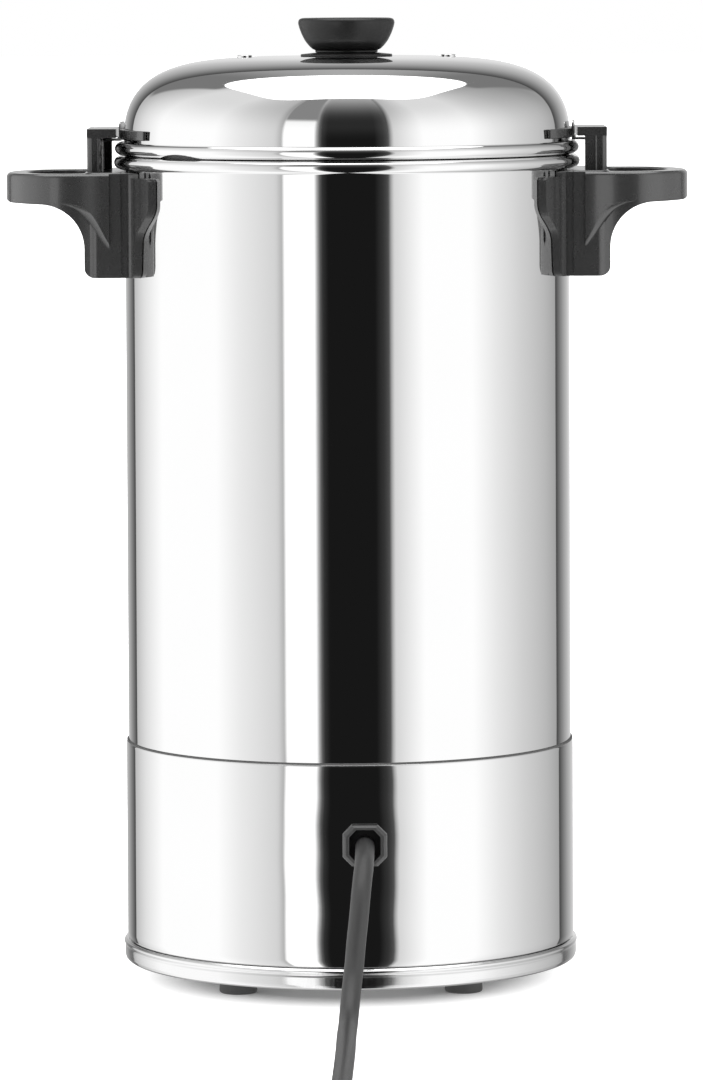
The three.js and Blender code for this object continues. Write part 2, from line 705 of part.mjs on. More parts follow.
function handle() {
  const block = raised(blockPlan(), 300, 380, 3);
  const core = raised(loopPlan(LOOP_CORE_HALF_WIDTH), 300, 380, 5);
  const skin = raised(loopPlan(LOOP_HALF_WIDTH), 300, 380, 5).intersect(acrossY(loopProfile(), -50, 50, 5));
  const body = join(block, core).intersect(acrossY(handleProfile(), -50, 50, 5)).add(skin);
  const post = box([POST_INNER, POST_OUTER], [-HOOK_HALF_WIDTH, HOOK_HALF_WIDTH], [360, HOOK_TOP]);
  const roof = box(
    [103.8, POST_OUTER],
    [-HOOK_HALF_WIDTH, HOOK_HALF_WIDTH],
    [HOOK_ROOF_LOW, HOOK_TOP],
  );
  const stopWall = box([107, POST_INNER + 1], [-HOOK_HALF_WIDTH, 3 - HOOK_HALF_WIDTH], [360, HOOK_TOP]);
  const finger = raised(fingerHole(), 300, 400, 5);
  const bore = turned([[0, 300], [HANDLE_BORE_R, 300], [HANDLE_BORE_R, 400], [0, 400]]);
  const screwHoles = SCREW_HEIGHTS.map((z) => rodX(SCREW_HOLE_R, 95, 114.4, 0, z));
  return cut(join(cut(body, finger), handleWings(), post, roof, stopWall), bore, ...screwHoles);
}

function handleScrew() {
  return turned([
    [0, 96.6],
    [3.4, 96.6],
    [4.6, 98],
    [4.6, INNER_R - GAP - 0.2],
    [2.5, INNER_R - GAP - 0.2],
    [2.5, 113.8],
    [0, 113.8],
  ], SMALL_SIDES).rotate([0, 90, 0]);
}

[["right", 0], ["left", Math.PI]].forEach(([side, turn]) => {
  const mount = subgroup();
  mount.rotation.z = turn;
  add(mount, `handle_${side}`, handle(), BLACK_PLASTIC);
  SCREW_HEIGHTS.forEach((z, i) => {
    add(mount, `handle_${side}_screw_${i + 1}`, handleScrew(), PLAIN_STEEL).position.z = z;
  });
});

// ---- lid ----------------------------------------------------------------------------------------
const DOME_POWER_R = 4.894; // how square the dome's shoulder is, along the radius
const DOME_POWER_Z = 2.505; // and along the height

function dome(radius, top, steps) {
  return Array.from({ length: steps + 1 }, (_, i) => {
    const angle = (Math.PI / 2) * (1 - i / steps);
    return [
      radius * Math.sin(angle) ** (2 / DOME_POWER_R),
      LID_SPRING + (top - LID_SPRING) * Math.cos(angle) ** (2 / DOME_POWER_Z),
    ];
  });
}

function lidShell() {
  const innerR = LID_R - LID_WALL;
  const outerJoin = THREE.MathUtils.radToDeg(Math.acos((LID_R - LID_BEAD_CENTRE_R) / BEAD_R));
  const innerJoin = THREE.MathUtils.radToDeg(Math.acos((innerR - LID_BEAD_CENTRE_R) / BEAD_R));
  const shell = turned([
    ...arc(LID_BEAD_CENTRE_R, LID_BEAD_Z, BEAD_R, -innerJoin, outerJoin, 7),
    ...dome(LID_R, LID_TOP, 10),
    ...dome(innerR, LID_TOP - LID_WALL, 7).reverse(),
  ]);
  const bosses = [-1, 1].map((side) => rod(3.4, 417, 418.9).translate([side * VENT_X, 0, 0]));
  const vents = [-1, 1].map((side) => rod(1.9, 410, 425).translate([side * VENT_X, 0, 0]));
  const steamNotch = rodX(46, 95, 120, 0, LID_BEAD_Z - BEAD_R - 44, 60).rotate([0, 0, -136]);
  return cut(join(shell, ...bosses), ...vents, rod(2.4, 410, 425), steamNotch);
}

// The ring inside the lid that drops into the mouth of the vessel.
function lidInnerRing() {
  const wall = 0.8;
  const lowR = 99;
  const highR = 99.9;
  return turned([
    [lowR - wall, 366],
    [lowR, 366],
    [lowR, 376.6],
    [highR, 380.4],
    [highR, 384],
    [highR - wall, 384],
    [highR - wall, 380.8],
    [lowR - wall, 377],
  ]);
}

function lidKnob() {
  const body = turned([
    [0, KNOB_LOW],
    [14.1, KNOB_LOW],
    [14.1, 421.2],
    [15.4, 421.5],
    [17.2, 423.3],
    [18.8, 425.3],
    [20.4, 428.5],
    [21.5, 431.5],
    [21.9, 433.4],
    [21.3, 435],
    [19.6, KNOB_TOP],
    [16, KNOB_TOP],
    [12, KNOB_TOP - 0.5],
    [0, KNOB_TOP - 0.7],
  ], 24);
  return cut(body, rod(2.4, 410, 431));
}

function lidKnobScrew() {
  const headTop = LID_TOP - LID_WALL - GAP;
  return turned([[0, 414.6], [5, 414.6], [6, 415.6], [6, headTop], [2, headTop], [2, 430], [0, 430]], 16);
}

// The sheet-metal lug: an upright fin on the lid and a tongue that runs under the handle's hook.
function lidTab() {
  const top = LID_BEAD_Z + BEAD_R;
  const fin = box([102, 102.8], [-TAB_HALF_WIDTH, TAB_HALF_WIDTH], [top + GAP, 389]);
  const tongue = box([102, TAB_REACH], [-TAB_HALF_WIDTH, TAB_HALF_WIDTH], [top + GAP, top + GAP + 0.8]);
  return join(fin, tongue).rotate([0, 0, TAB_ANGLE]);
}

// The black bar along the lid's shoulder behind each lug.
function lidGuard() {
  const bar = raised(sector(LID_R + GAP, LID_R + GAP + 1.5, THREE.MathUtils.degToRad(28)), 381.6, 385.9, 14);
  const seat = box([101.7, 110], [-TAB_HALF_WIDTH - GAP, TAB_HALF_WIDTH + GAP], [380, 390]);
  return cut(bar, seat.rotate([0, 0, TAB_ANGLE]));
}

const lid = subgroup();
add(lid, "lid_shell", lidShell(), MIRROR_STEEL);
add(lid, "lid_inner_ring", lidInnerRing(), PLAIN_STEEL);
add(lid, "lid_knob_washer", washer(5, 20.8, LID_TOP + GAP, KNOB_LOW - GAP), BLACK_PLASTIC);
add(lid, "lid_knob", lidKnob(), BLACK_PLASTIC);
add(lid, "lid_knob_screw", lidKnobScrew(), PLAIN_STEEL);
[["right", 0], ["left", Math.PI]].forEach(([side, turn]) => {
  const half = new THREE.Group();
  half.rotation.z = turn;
  lid.add(half);
  add(half, `lid_tab_${side}`, lidTab(), PLAIN_STEEL);
  add(half, `lid_guard_${side}`, lidGuard(), BLACK_PLASTIC);
});

// ---- cord ---------------------------------------------------------------------------------------
const GLAND_BACK = 94;
const GLAND_FRONT = 105.2;

function cordGland() {
  const flange = acrossY(
    polygon([[-9.8, -5], [-9.8, 5], [-5.6, 9.2], [5.6, 9.2], [9.8, 5], [9.8, -5], [5.6, -9.2], [-5.6, -9.2]]),
    -GLAND_FRONT,
    -SKIRT_R - GAP,
  );
  const neck = rodY(GLAND_NECK_R, -SKIRT_R - 1, -GLAND_BACK, 0, 0);
  const mouth = rodY(5.6, -110, -98, 0, 0);
  return cut(join(flange, neck), mouth).translate([GLAND_X, 0, GLAND_Z]);
}

function cordGlandNut() {
  return nut(GLAND_NECK_R + 2 * GAP, 10.5, -98.8, -94.4).rotate([-90, 0, 0]).translate([GLAND_X, 0, GLAND_Z]);
}

const CORD_ROUTE = [
  [6.4, -98.4, 73],
  [6.4, -102, 72.9],
  [6.4, -107, 72.2],
  [6.2, -115.6, 69.9],
  [5.8, -124, 66.2],
  [5, -131.3, 60.6],
  [4.2, -136.8, 53.4],
  [3.4, -140.2, 45.6],
  [2.4, -143.4, 37],
  [1.5, -147.4, 27.8],
  [0.3, -153.6, 18.6],
  [-0.7, -163.2, 10.4],
  [-1.3, -174, 6],
  [-1.8, -187, 4.6],
  [-2.5, -235, 4.5],
  [-3.7, -294, 4.5],
  [-5, -345, 4.5],
  [-6.4, -385, 4.8],
  [-7, -413.8, 5.4],
];
const TAIL_END = PLUG_START - 0.8;
const CORD_TAIL = [
  [58.7, -507.6, 14.2],
  [64, -509.5, 15],
  [69.5, -511.2, 16.8],
  [74.5, -512.5, 18.6],
  [TAIL_END, PLUG_Y, PLUG_Z],
];

// The outer shape of the wound cord: a ring, two turns wide and two high.
function cordCoil() {
  const half = CORD_D;
  const soft = 2.5;
  const [low, high] = [COIL_LOW, COIL_LOW + 2 * CORD_D];
  return turned([
    [COIL_MID_R - half, low + soft],
    [COIL_MID_R - half + soft, low],
    [COIL_MID_R + half - soft, low],
    [COIL_MID_R + half, low + soft],
    [COIL_MID_R + half, high - soft],
    [COIL_MID_R + half - soft, high],
    [COIL_MID_R - half + soft, high],
    [COIL_MID_R - half, high - soft],
  ], 24).translate([COIL_X, COIL_Y, 0]);
}

// A strap round the bundle of turns.
function cordTie() {
  const thick = 0.7;
  const across = CORD_D + 3 * GAP;
  const up = CORD_D + GAP;
  const middle = COIL_LOW + CORD_D;
  const band = box([-across - thick, across + thick], [-4, 4], [middle - up - thick, middle + up + thick]);
  const hole = box([-across, across], [-10, 10], [middle - up, middle + up]);
  return cut(band, hole)
    .translate([COIL_MID_R, 0, 0])
    .rotate([0, 0, 60])
    .translate([COIL_X, COIL_Y, 0]);
}

function plugBody() {
  return turned([
    [0, 1],
    [CORD_D / 2 + 1, 0],
    [8.5, 18],
    [12, 20],
    [18, 27],
    [18.5, 30],
    [18.5, 50],
    [17.8, 51],
    [0, 51],
  ], 24).rotate([0, 90, 0]).translate([PLUG_START, PLUG_Y, PLUG_Z]);
}

const cord = subgroup();
add(cord, "cord_gland", cordGland(), BLACK_PLASTIC);
add(cord, "cord_gland_nut", cordGlandNut(), BLACK_PLASTIC);
add(cord, "cord_run", tube(CORD_ROUTE, CORD_D / 2, 8, 28), CORD_BLACK);
add(cord, "cord_coil", cordCoil(), CORD_BLACK);
add(cord, "cord_tie", cordTie(), BLACK_RUBBER);
add(cord, "cord_tail", tube(CORD_TAIL, CORD_D / 2, 8, 6), CORD_BLACK);
add(cord, "plug_body", plugBody(), CORD_BLACK);
[-1, 1].forEach((side, i) => {
  add(
    cord,
    `plug_pin_${i + 1}`,
    rodX(2.4, PLUG_START + 51.3, PLUG_START + 70, PLUG_Y, PLUG_Z + side * 9.5, 12),
    PLAIN_STEEL,
  );
});

export default group;
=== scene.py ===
"""The looks of a tall electric soup kettle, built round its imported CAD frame.

Shapes are written in millimetres, with heights above the surface that the kettle stands on; put()
turns them into the frame's metres. The cord faces -Y, the tap +Y, and the handles point along X.
"""

import json
import math

import bmesh
import bpy
from mathutils import Matrix, Vector


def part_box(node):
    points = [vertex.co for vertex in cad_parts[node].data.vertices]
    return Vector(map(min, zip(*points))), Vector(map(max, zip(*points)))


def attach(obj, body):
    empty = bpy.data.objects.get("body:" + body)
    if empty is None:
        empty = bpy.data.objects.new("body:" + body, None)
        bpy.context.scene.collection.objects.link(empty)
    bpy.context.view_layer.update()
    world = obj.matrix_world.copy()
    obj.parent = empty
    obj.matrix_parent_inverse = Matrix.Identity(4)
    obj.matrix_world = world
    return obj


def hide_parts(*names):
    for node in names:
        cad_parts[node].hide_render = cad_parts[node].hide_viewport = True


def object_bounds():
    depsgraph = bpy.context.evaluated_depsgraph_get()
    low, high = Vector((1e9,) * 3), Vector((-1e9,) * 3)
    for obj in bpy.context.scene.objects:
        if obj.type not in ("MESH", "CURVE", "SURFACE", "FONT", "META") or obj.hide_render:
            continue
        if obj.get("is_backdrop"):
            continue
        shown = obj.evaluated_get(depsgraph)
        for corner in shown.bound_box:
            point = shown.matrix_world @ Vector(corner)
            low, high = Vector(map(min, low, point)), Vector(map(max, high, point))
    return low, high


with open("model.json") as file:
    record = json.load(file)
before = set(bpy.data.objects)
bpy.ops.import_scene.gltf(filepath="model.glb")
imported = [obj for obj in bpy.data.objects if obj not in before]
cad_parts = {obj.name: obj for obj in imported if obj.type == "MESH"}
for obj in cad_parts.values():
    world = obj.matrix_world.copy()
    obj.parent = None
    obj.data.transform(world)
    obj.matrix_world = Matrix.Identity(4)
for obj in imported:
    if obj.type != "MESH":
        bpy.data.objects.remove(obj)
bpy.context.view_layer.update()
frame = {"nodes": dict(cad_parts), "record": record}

MM = 0.001
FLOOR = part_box("foot_1")[0].z
ROUND = 256  # segments round a large turned piece
ROUND_LARGE, ROUND_LARGEST = 384, 512  # where its edge or its reflections show
FINE = 96  # segments round a small one


def put(x, y, z):
    return Vector((x * MM, y * MM, FLOOR + z * MM))


# ---- camera ---------------------------------------------------------------------------------------
PHOTO_HEIGHT = 1080
FOCAL_PIXELS = 6325
PITCH = math.radians(3.5)
ROLL = math.radians(0.28)
CAMERA_DISTANCE, CAMERA_HEIGHT = 2863, 458.3
SHIFT_X, SHIFT_Y = 0.0033, -0.172


def make_camera():
    data = bpy.data.cameras.new("camera")
    data.sensor_width = 36
    data.lens = FOCAL_PIXELS / PHOTO_HEIGHT * data.sensor_width
    # The kettle's upright edges stay nearly parallel, so part of the downward look is shift.
    data.shift_x, data.shift_y = SHIFT_X, SHIFT_Y
    data.clip_start, data.clip_end = 0.1, 200
    camera = bpy.data.objects.new("camera", data)
    camera.location = put(0, -CAMERA_DISTANCE, CAMERA_HEIGHT)
    turn = Matrix.Rotation(math.pi / 2 - PITCH, 4, "X") @ Matrix.Rotation(-ROLL, 4, "Z")
    camera.rotation_euler = turn.to_euler()
    bpy.context.collection.objects.link(camera)
    bpy.context.scene.camera = camera


make_camera()
bpy.context.scene.view_settings.view_transform = "Standard"


# ---- outlines in two dimensions -----------------------------------------------------------------
def arc(cx, cy, radius, start, end, steps=12):
    """Points on a circle, from one angle to another in degrees."""
    angles = [math.radians(start + (end - start) * i / steps) for i in range(steps + 1)]
    return [(cx + radius * math.cos(a), cy + radius * math.sin(a)) for a in angles]


def bezier(*controls, steps=12):
    """Points on the curve of any degree that the control points give."""
    points = []
    for i in range(steps + 1):
        t = i / steps
        row = [Vector(c) for c in controls]
        while len(row) > 1:
            row = [a.lerp(b, t) for a, b in zip(row, row[1:])]
        points.append(tuple(row[0]))
    return points


def round_rect(cx, cy, half_width, half_height, radius, steps=8):
    corners = [(1, -1, -90), (1, 1, 0), (-1, 1, 90), (-1, -1, 180)]
    points = []
    for sx, sy, start in corners:
        x = cx + sx * (half_width - radius)
        y = cy + sy * (half_height - radius)
        points += arc(x, y, radius, start, start + 90, steps)
    return points


def softened(points, radius, closed=True, steps=3):
    """The outline with each of its corners rounded off."""
    count = len(points)
    out = []
    for i, p in enumerate(points):
        if not closed and i in (0, count - 1):
            out.append(tuple(p))
            continue
        here = Vector(p)
        before, after = Vector(points[i - 1]), Vector(points[(i + 1) % count])
        reach = [min(radius, 0.45 * (q - here).length) for q in (before, after)]
        if min(reach) < 1e-6:
            out.append(tuple(p))
            continue
        a = here + (before - here).normalized() * reach[0]
        b = here + (after - here).normalized() * reach[1]
        out += bezier(a, here, b, steps=steps)
    return out


# ---- meshes ---------------------------------------------------------------------------------------
def mesh_object(name, verts, faces):
    """A new object from millimetre points; doubled points are merged and faces turned outwards."""
    mesh = bpy.data.meshes.new(name)
    mesh.from_pydata([put(*v) for v in verts], [], faces)
    bm = bmesh.new()
    bm.from_mesh(mesh)
    bmesh.ops.remove_doubles(bm, verts=bm.verts, dist=1e-7)
    bmesh.ops.recalc_face_normals(bm, faces=bm.faces)
    bm.to_mesh(mesh)
    bm.free()
    thing = bpy.data.objects.new(name, mesh)
    bpy.context.collection.objects.link(thing)
    return thing


def lathe(name, outline, segments=ROUND, axis="Z", at=(0, 0, 0), closed=True, shape=None):
    """Turns [radius, distance along the axis] points. shape may move each point of the result."""
    verts, faces = [], []
    count = len(outline)
    for k in range(segments):
        angle = 2 * math.pi * k / segments
        c, s = math.cos(angle), math.sin(angle)
        for r, along in outline:
            if shape:
                r, along = shape(r, along, angle)
            point = {
                "Z": (r * c, r * s, along),
                "Y": (r * c, along, r * s),
                "X": (along, r * c, r * s),
            }[axis]
            verts.append([p + o for p, o in zip(point, at)])
    for k in range(segments):
        near, far = k * count, (k + 1) % segments * count
        for i in range(count if closed else count - 1):
            j = (i + 1) % count
            faces.append([near + i, near + j, far + j, far + i])
    return mesh_object(name, verts, faces)


def cylinder(name, radius, low, high, segments, axis="Z", at=(0, 0, 0)):
    return lathe(name, [(0, low), (radius, low), (radius, high), (0, high)], segments, axis, at)


def prism(name, outline, low, high, axis="Z"):
    """An outline pushed along an axis: in (x, y) for Z, (x, z) for Y and (y, z) for X."""
    outline = [p for i, p in enumerate(outline) if math.dist(p, outline[i - 1]) > 1e-4]
    return loft(name, [(outline, low), (outline, high)], axis)


def loft(name, levels, axis="Z"):
    """A solid through outlines of the same number of points, each at its place along the axis."""
    place = {
        "Z": lambda a, b, c: (a, b, c),
        "Y": lambda a, b, c: (a, c, b),
        "X": lambda a, b, c: (c, a, b),
    }[axis]
    count = len(levels[0][0])
    verts = [place(a, b, c) for outline, c in levels for a, b in outline]
    faces = [list(range(count)), list(range(len(verts) - count, len(verts)))]
    for k in range(len(levels) - 1):
        for i in range(count):
            j = (i + 1) % count
            faces.append([k * count + n for n in (i, j, count + j, count + i)])
    return mesh_object(name, verts, faces)


def shell_sector(name, inner, outer, half_angle, low, high, middle=0, steps=64):
    """The part of an upright tube on both sides of an angle, all in degrees and millimetres."""
    plan = arc(0, 0, outer, middle - half_angle, middle + half_angle, steps)
    plan += arc(0, 0, inner, middle + half_angle, middle - half_angle, steps)
    return prism(name, plan, low, high)


def applied(thing):
    """Puts what the modifiers make into the object's own mesh."""
    graph = bpy.context.evaluated_depsgraph_get()
    made = bpy.data.meshes.new_from_object(thing.evaluated_get(graph))
    thing.modifiers.clear()
    thing.data = made
    return thing


def combined(target, operation, *tools):
    for tool in tools:
        step = target.modifiers.new("combine", "BOOLEAN")
        step.object, step.operation, step.solver = tool, operation, "EXACT"
        applied(target)
        bpy.data.objects.remove(tool)
    return target


def join(target, *tools):
    return combined(target, "UNION", *tools)


def cut(target, *tools):
    return combined(target, "DIFFERENCE", *tools)


def common(target, *tools):
    return combined(target, "INTERSECT", *tools)


def moved(thing, matrix):
    thing.data.transform(matrix)
    return thing


def copied(thing, name, matrix):
    twin = bpy.data.objects.new(name, thing.data.copy())
    bpy.context.collection.objects.link(twin)
    return moved(twin, matrix)


def smooth(thing, bevel=0, angle=35, segments=3, crease=90):
    """Smooth shading, with rounded edges of the given width in millimetres where faces turn."""
    mesh = thing.data
    mesh.polygons.foreach_set("use_smooth", [True] * len(mesh.polygons))
    mesh.set_sharp_from_angle(angle=math.radians(min(angle, crease) if bevel else angle))
    if not bevel:
        return thing
    edge = thing.modifiers.new("edges", "BEVEL")
    edge.width, edge.segments = bevel * MM, segments
    edge.limit_method, edge.angle_limit = "ANGLE", math.radians(angle)
    edge.harden_normals = False
    weigh = thing.modifiers.new("normals", "WEIGHTED_NORMAL")
    weigh.keep_sharp = True
    return thing


def dress(thing, look, body, slot, *nodes):
    """Gives a finished piece its material and its body, and hides the CAD nodes that it stands for. The
    slot is not used.
    """
    thing.data.materials.clear()
    thing.data.materials.append(look)
    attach(thing, body)
    if nodes:
        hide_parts(*nodes)
    return thing


# ---- materials ------------------------------------------------------------------------------------
GRAIN_HEIGHT = 0.0002  # metres


def surface(
    name,
    dark,
    light,
    rough,
    metallic=0.0,
    grain=900,
    grain_depth=0.02,
    wave=0.0,
    stretch=(1, 1, 1),
    **constants,
):
    """A shader whose colour, roughness and surface vary a little: in patches, in a grain of the
    given scale and depth, and with a wave in the surface of the given height in metres."""
    made = bpy.data.materials.new(name)
    made.use_nodes = True
    nodes, links = made.node_tree.nodes, made.node_tree.links
    shader = nodes["Principled BSDF"]
    shader.inputs["Metallic"].default_value = metallic
    for key, value in constants.items():
        shader.inputs[key.replace("_", " ")].default_value = value
    place = nodes.new("ShaderNodeTexCoord")
    scale = nodes.new("ShaderNodeMapping")
    scale.inputs["Scale"].default_value = stretch
    links.new(place.outputs["Object"], scale.inputs["Vector"])

    def noise(size, detail, source):
        texture = nodes.new("ShaderNodeTexNoise")
        texture.inputs["Scale"].default_value = size
        texture.inputs["Detail"].default_value = detail
        links.new(source, texture.inputs["Vector"])
        return texture.outputs["Fac"]

    patches = noise(14, 4, place.outputs["Object"])
    fine = noise(grain, 3, scale.outputs["Vector"])
    tone = nodes.new("ShaderNodeMix")
    tone.data_type = "RGBA"
    tone.inputs[6].default_value, tone.inputs[7].default_value = (*dark, 1), (*light, 1)
    links.new(patches, tone.inputs["Factor"])
    links.new(tone.outputs[2], shader.inputs["Base Color"])
    gloss = nodes.new("ShaderNodeMapRange")
    gloss.inputs["From Min"].default_value, gloss.inputs["From Max"].default_value = 0.3, 0.7
    gloss.inputs["To Min"].default_value, gloss.inputs["To Max"].default_value = rough
    links.new(fine, gloss.inputs["Value"])
    links.new(gloss.outputs["Result"], shader.inputs["Roughness"])
    bump = nodes.new("ShaderNodeBump")
    bump.inputs["Strength"].default_value = grain_depth
    bump.inputs["Distance"].default_value = GRAIN_HEIGHT
    links.new(fine, bump.inputs["Height"])
    if wave:
        swell = nodes.new("ShaderNodeBump")
        swell.inputs["Strength"].default_value = 1
        swell.inputs["Distance"].default_value = wave
        links.new(noise(9, 1, place.outputs["Object"]), swell.inputs["Height"])
        links.new(swell.outputs["Normal"], bump.inputs["Normal"])
    links.new(bump.outputs["Normal"], shader.inputs["Normal"])
    return made


def grey(low, high):
    return (low,) * 3, (high,) * 3


def rolled_steel(name, tone, rough, grain_depth, wave):
    """Bright sheet steel, whose grain runs up and down."""
    return surface(name, *grey(*tone), rough, 1.0, 700, grain_depth, wave, stretch=(1, 1, 0.06))


MIRROR = rolled_steel("mirror_steel", (0.93, 0.96), (0.02, 0.05), 0.004, 0.00003)
MIRROR_BASE = rolled_steel("mirror_steel_skirt", (0.93, 0.96), (0.02, 0.05), 0.004, 0.0001)
SATIN_RING = rolled_steel("satin_steel_ring", (0.9, 0.94), (0.1, 0.17), 0.01, 0.00003)
STEEL = surface("plain_steel", *grey(0.5, 0.62), (0.22, 0.4), 1.0, 1200, 0.05, stretch=(0.1, 1, 1))
ALUMINIUM = surface("cast_aluminium", *grey(0.5, 0.6), (0.4, 0.6), 1.0, 500, 0.25)
BRASS = surface("brass", (0.5, 0.33, 0.12), (0.62, 0.43, 0.17), (0.25, 0.42), 1.0, 900, 0.05)
GLOSSY = {"Specular_IOR_Level": 1.0}
PLASTIC = surface(
    "black_plastic", *grey(0.026, 0.032), (0.24, 0.28), 0.0, 300, 0.004, **GLOSSY, Coat_Weight=0.5
)
SATIN_PLASTIC = surface(
    "satin_black_plastic", *grey(0.03, 0.038), (0.36, 0.46), 0.0, 1500, 0.02, **GLOSSY
)
# Near black with little shine: painted shade for the inside of the cord gland's pocket.
PAINTED_RECESS_SHADE = surface(
    "painted_recess_shade", *grey(0.004, 0.007), (0.6, 0.8), 0.0, 1500, 0.02, Specular_IOR_Level=0.2
)
KNOB_PLASTIC = surface("black_phenolic", *grey(0.011, 0.015), (0.3, 0.42), 0.0, 1300, 0.03)
RUBBER = surface("black_rubber", *grey(0.07, 0.1), (0.6, 0.8), 0.0, 1100, 0.3)
CERAMIC = surface("white_ceramic", (0.72, 0.69, 0.62), (0.82, 0.8, 0.74), (0.5, 0.7), 0.0, 600, 0.2)
SILICONE = surface("silicone", (0.66, 0.64, 0.58), (0.74, 0.72, 0.67), (0.4, 0.55), 0.0, 500, 0.1)
LENS = surface(
    "red_lens",
    (0.42, 0.01, 0.006),
    (0.6, 0.03, 0.015),
    (0.06, 0.14),
    0.0,
    300,
    0.05,
    Transmission_Weight=0.35,
)
CORD = surface(
    "cord_rubber", *grey(0.032, 0.042), (0.42, 0.55), 0.0, 1700, 0.12, Specular_IOR_Level=0.7
)
MARKS = surface("white_print", *grey(0.66, 0.74), (0.45, 0.6), 0.0, 900, 0.1)
WIRE_COLOURS = {
    "wire_brown": ((0.1, 0.03, 0.01), (0.15, 0.05, 0.02)),
    "wire_blue": ((0.01, 0.07, 0.3), (0.02, 0.1, 0.4)),
    "wire_green": ((0.06, 0.25, 0.03), (0.1, 0.34, 0.05)),
}
SLOT_LOOKS = {
    "polished_steel": MIRROR,
    "plain_steel": STEEL,
    "aluminium": ALUMINIUM,
    "brass": BRASS,
    "black_plastic": PLASTIC,
    "black_rubber": RUBBER,
    "white_ceramic": CERAMIC,
    "silicone": SILICONE,
    "red_lens": LENS,
    "cord_black": CORD,
    **{name: surface(name, *tones, (0.4, 0.6), 0.0, 800, 0.1) for name, tones in WIRE_COLOURS.items()},
}

# ---- cord -----------------------------------------------------------------------------------------
GLAND_X, GLAND_Z, GLAND_FACE = 6.4, 73.2, -105.2
CORD_D = 8.5
CORD_RUN = [
    (6.4, -98.4, 73),
    (6.4, -102, 72.9),
    (6.4, -107, 72.2),
    (6.2, -115.6, 69.9),
    (5.8, -124, 66.2),
    (5, -131.3, 60.6),
    (4.2, -136.8, 53.4),
    (3.4, -140.2, 45.6),
    (2.4, -143.4, 37),
    (1.5, -147.4, 27.8),
    (0.3, -153.6, 18.6),
    (-0.7, -163.2, 10.4),
    (-1.3, -174, 6),
    (-1.8, -187, 4.6),
    (-2.5, -235, 4.5),
    (-3.7, -294, 4.5),
    (-5, -345, 4.5),
    (-6.4, -385, 4.8),
    (-7, -413.8, 5.4),
]
CORD_TAIL = [
    (58.7, -507.6, 14.2),
    (64, -509.5, 15),
    (69.5, -511.2, 16.8),
    (74.5, -512.5, 18.6),
    (81, -513, 19.3),
]
COIL_CENTRE = (48.25, -445)
COIL_RADII = (55, 46.5)
COIL_HEIGHTS = (5.45, 13.95)
COIL_START, COIL_TURNS, COIL_POINTS = 180, 3.15, 16  # degrees, turns, points on each turn


def ease(value, start, end):
    t = min(1, max(0, (value - start) / (end - start)))
    return t * t * (3 - 2 * t)


def coil_points():
    """A first turn outside, a second inside, then up onto them and out again."""
    points = []
    total = int(COIL_TURNS * COIL_POINTS)
    outer, inner = COIL_RADII
    low, high = COIL_HEIGHTS
    for i in range(total + 1):
        turn = i / COIL_POINTS
        inwards = ease(turn, 0.85, 1.15) - ease(turn, 2.35, 2.65)
        radius = outer + (inner - outer) * inwards
        height = low + (high - low) * ease(turn, 1.75, 2.05)
        angle = math.radians(COIL_START) + 2 * math.pi * turn
        x = COIL_CENTRE[0] + radius * math.cos(angle)
        y = COIL_CENTRE[1] + radius * math.sin(angle)
        points.append((x, y, height))
    return points


def make_cord():
    data = bpy.data.curves.new("cord", "CURVE")
    data.dimensions = "3D"
    data.bevel_depth = CORD_D / 2 * MM
    data.bevel_resolution = 7
    data.resolution_u = 10
    data.use_fill_caps = True
    data.twist_mode = "MINIMUM"
    points = CORD_RUN + coil_points() + CORD_TAIL
    spline = data.splines.new("BEZIER")
    spline.bezier_points.add(len(points) - 1)
    for knot, point in zip(spline.bezier_points, points):
        knot.co = put(*point)
        knot.handle_left_type = knot.handle_right_type = "AUTO"
    thing = bpy.data.objects.new("cord", data)
    bpy.context.collection.objects.link(thing)
    return dress(thing, CORD, "kettle", "cord_black", "cord_run", "cord_coil", "cord_tail")


PLUG_START, PLUG_Y, PLUG_Z = 80, -513, 19.3
PIN_OFFSET = 9.5


def plug_body():
    relief = [(0, 1), (5.1, 0.2)]
    for i in range(6):  # rings and grooves along the tapered relief
        start = 1.2 + 2.8 * i
        r = 5.25 + 3.25 * start / 18
        relief += [(r, start), (r + 0.25, start + 1.7)]
        relief += [(r - 0.9, start + 1.9), (r - 0.8, start + 2.6)]
    body = [(8.5, 18.2), (12, 20), (17.6, 26.6), (18.5, 29.5), (18.5, 49.6), (17.8, 51), (0, 51)]

    def flats(r, along, angle):
        """Flattens the plug's sides and puts finger ribs on them."""
        pull = 1 - 0.1 * ease(along, 24, 30) * (1 - abs(math.sin(angle))) ** 0.5
        ribbed = 31 < along < 47 and r > 18
        ribs = 0.35 * math.cos(2 * math.pi * (along - 31) / 2.6) if ribbed else 0
        side = max(0, abs(math.cos(angle)) - 0.8) / 0.2
        return r * pull + ribs * side, along

    outline = softened(relief + body, 0.5, False)
    plug = lathe("plug_body", outline, 128, "X", (PLUG_START, PLUG_Y, PLUG_Z), False, flats)
    return dress(smooth(plug), CORD, "kettle", "cord_black", "plug_body")


def plug_pin(index, side):
    outline = softened([(0, 51.3), (2.4, 51.3), (2.4, 68.6), (1.6, 69.7), (0, 70)], 0.7, False)
    at = (PLUG_START, PLUG_Y, PLUG_Z + side * PIN_OFFSET)
    pin = lathe(f"plug_pin_{index}", outline, 48, "X", at, False)
    return dress(smooth(pin), STEEL, "kettle", "plain_steel", f"plug_pin_{index}")


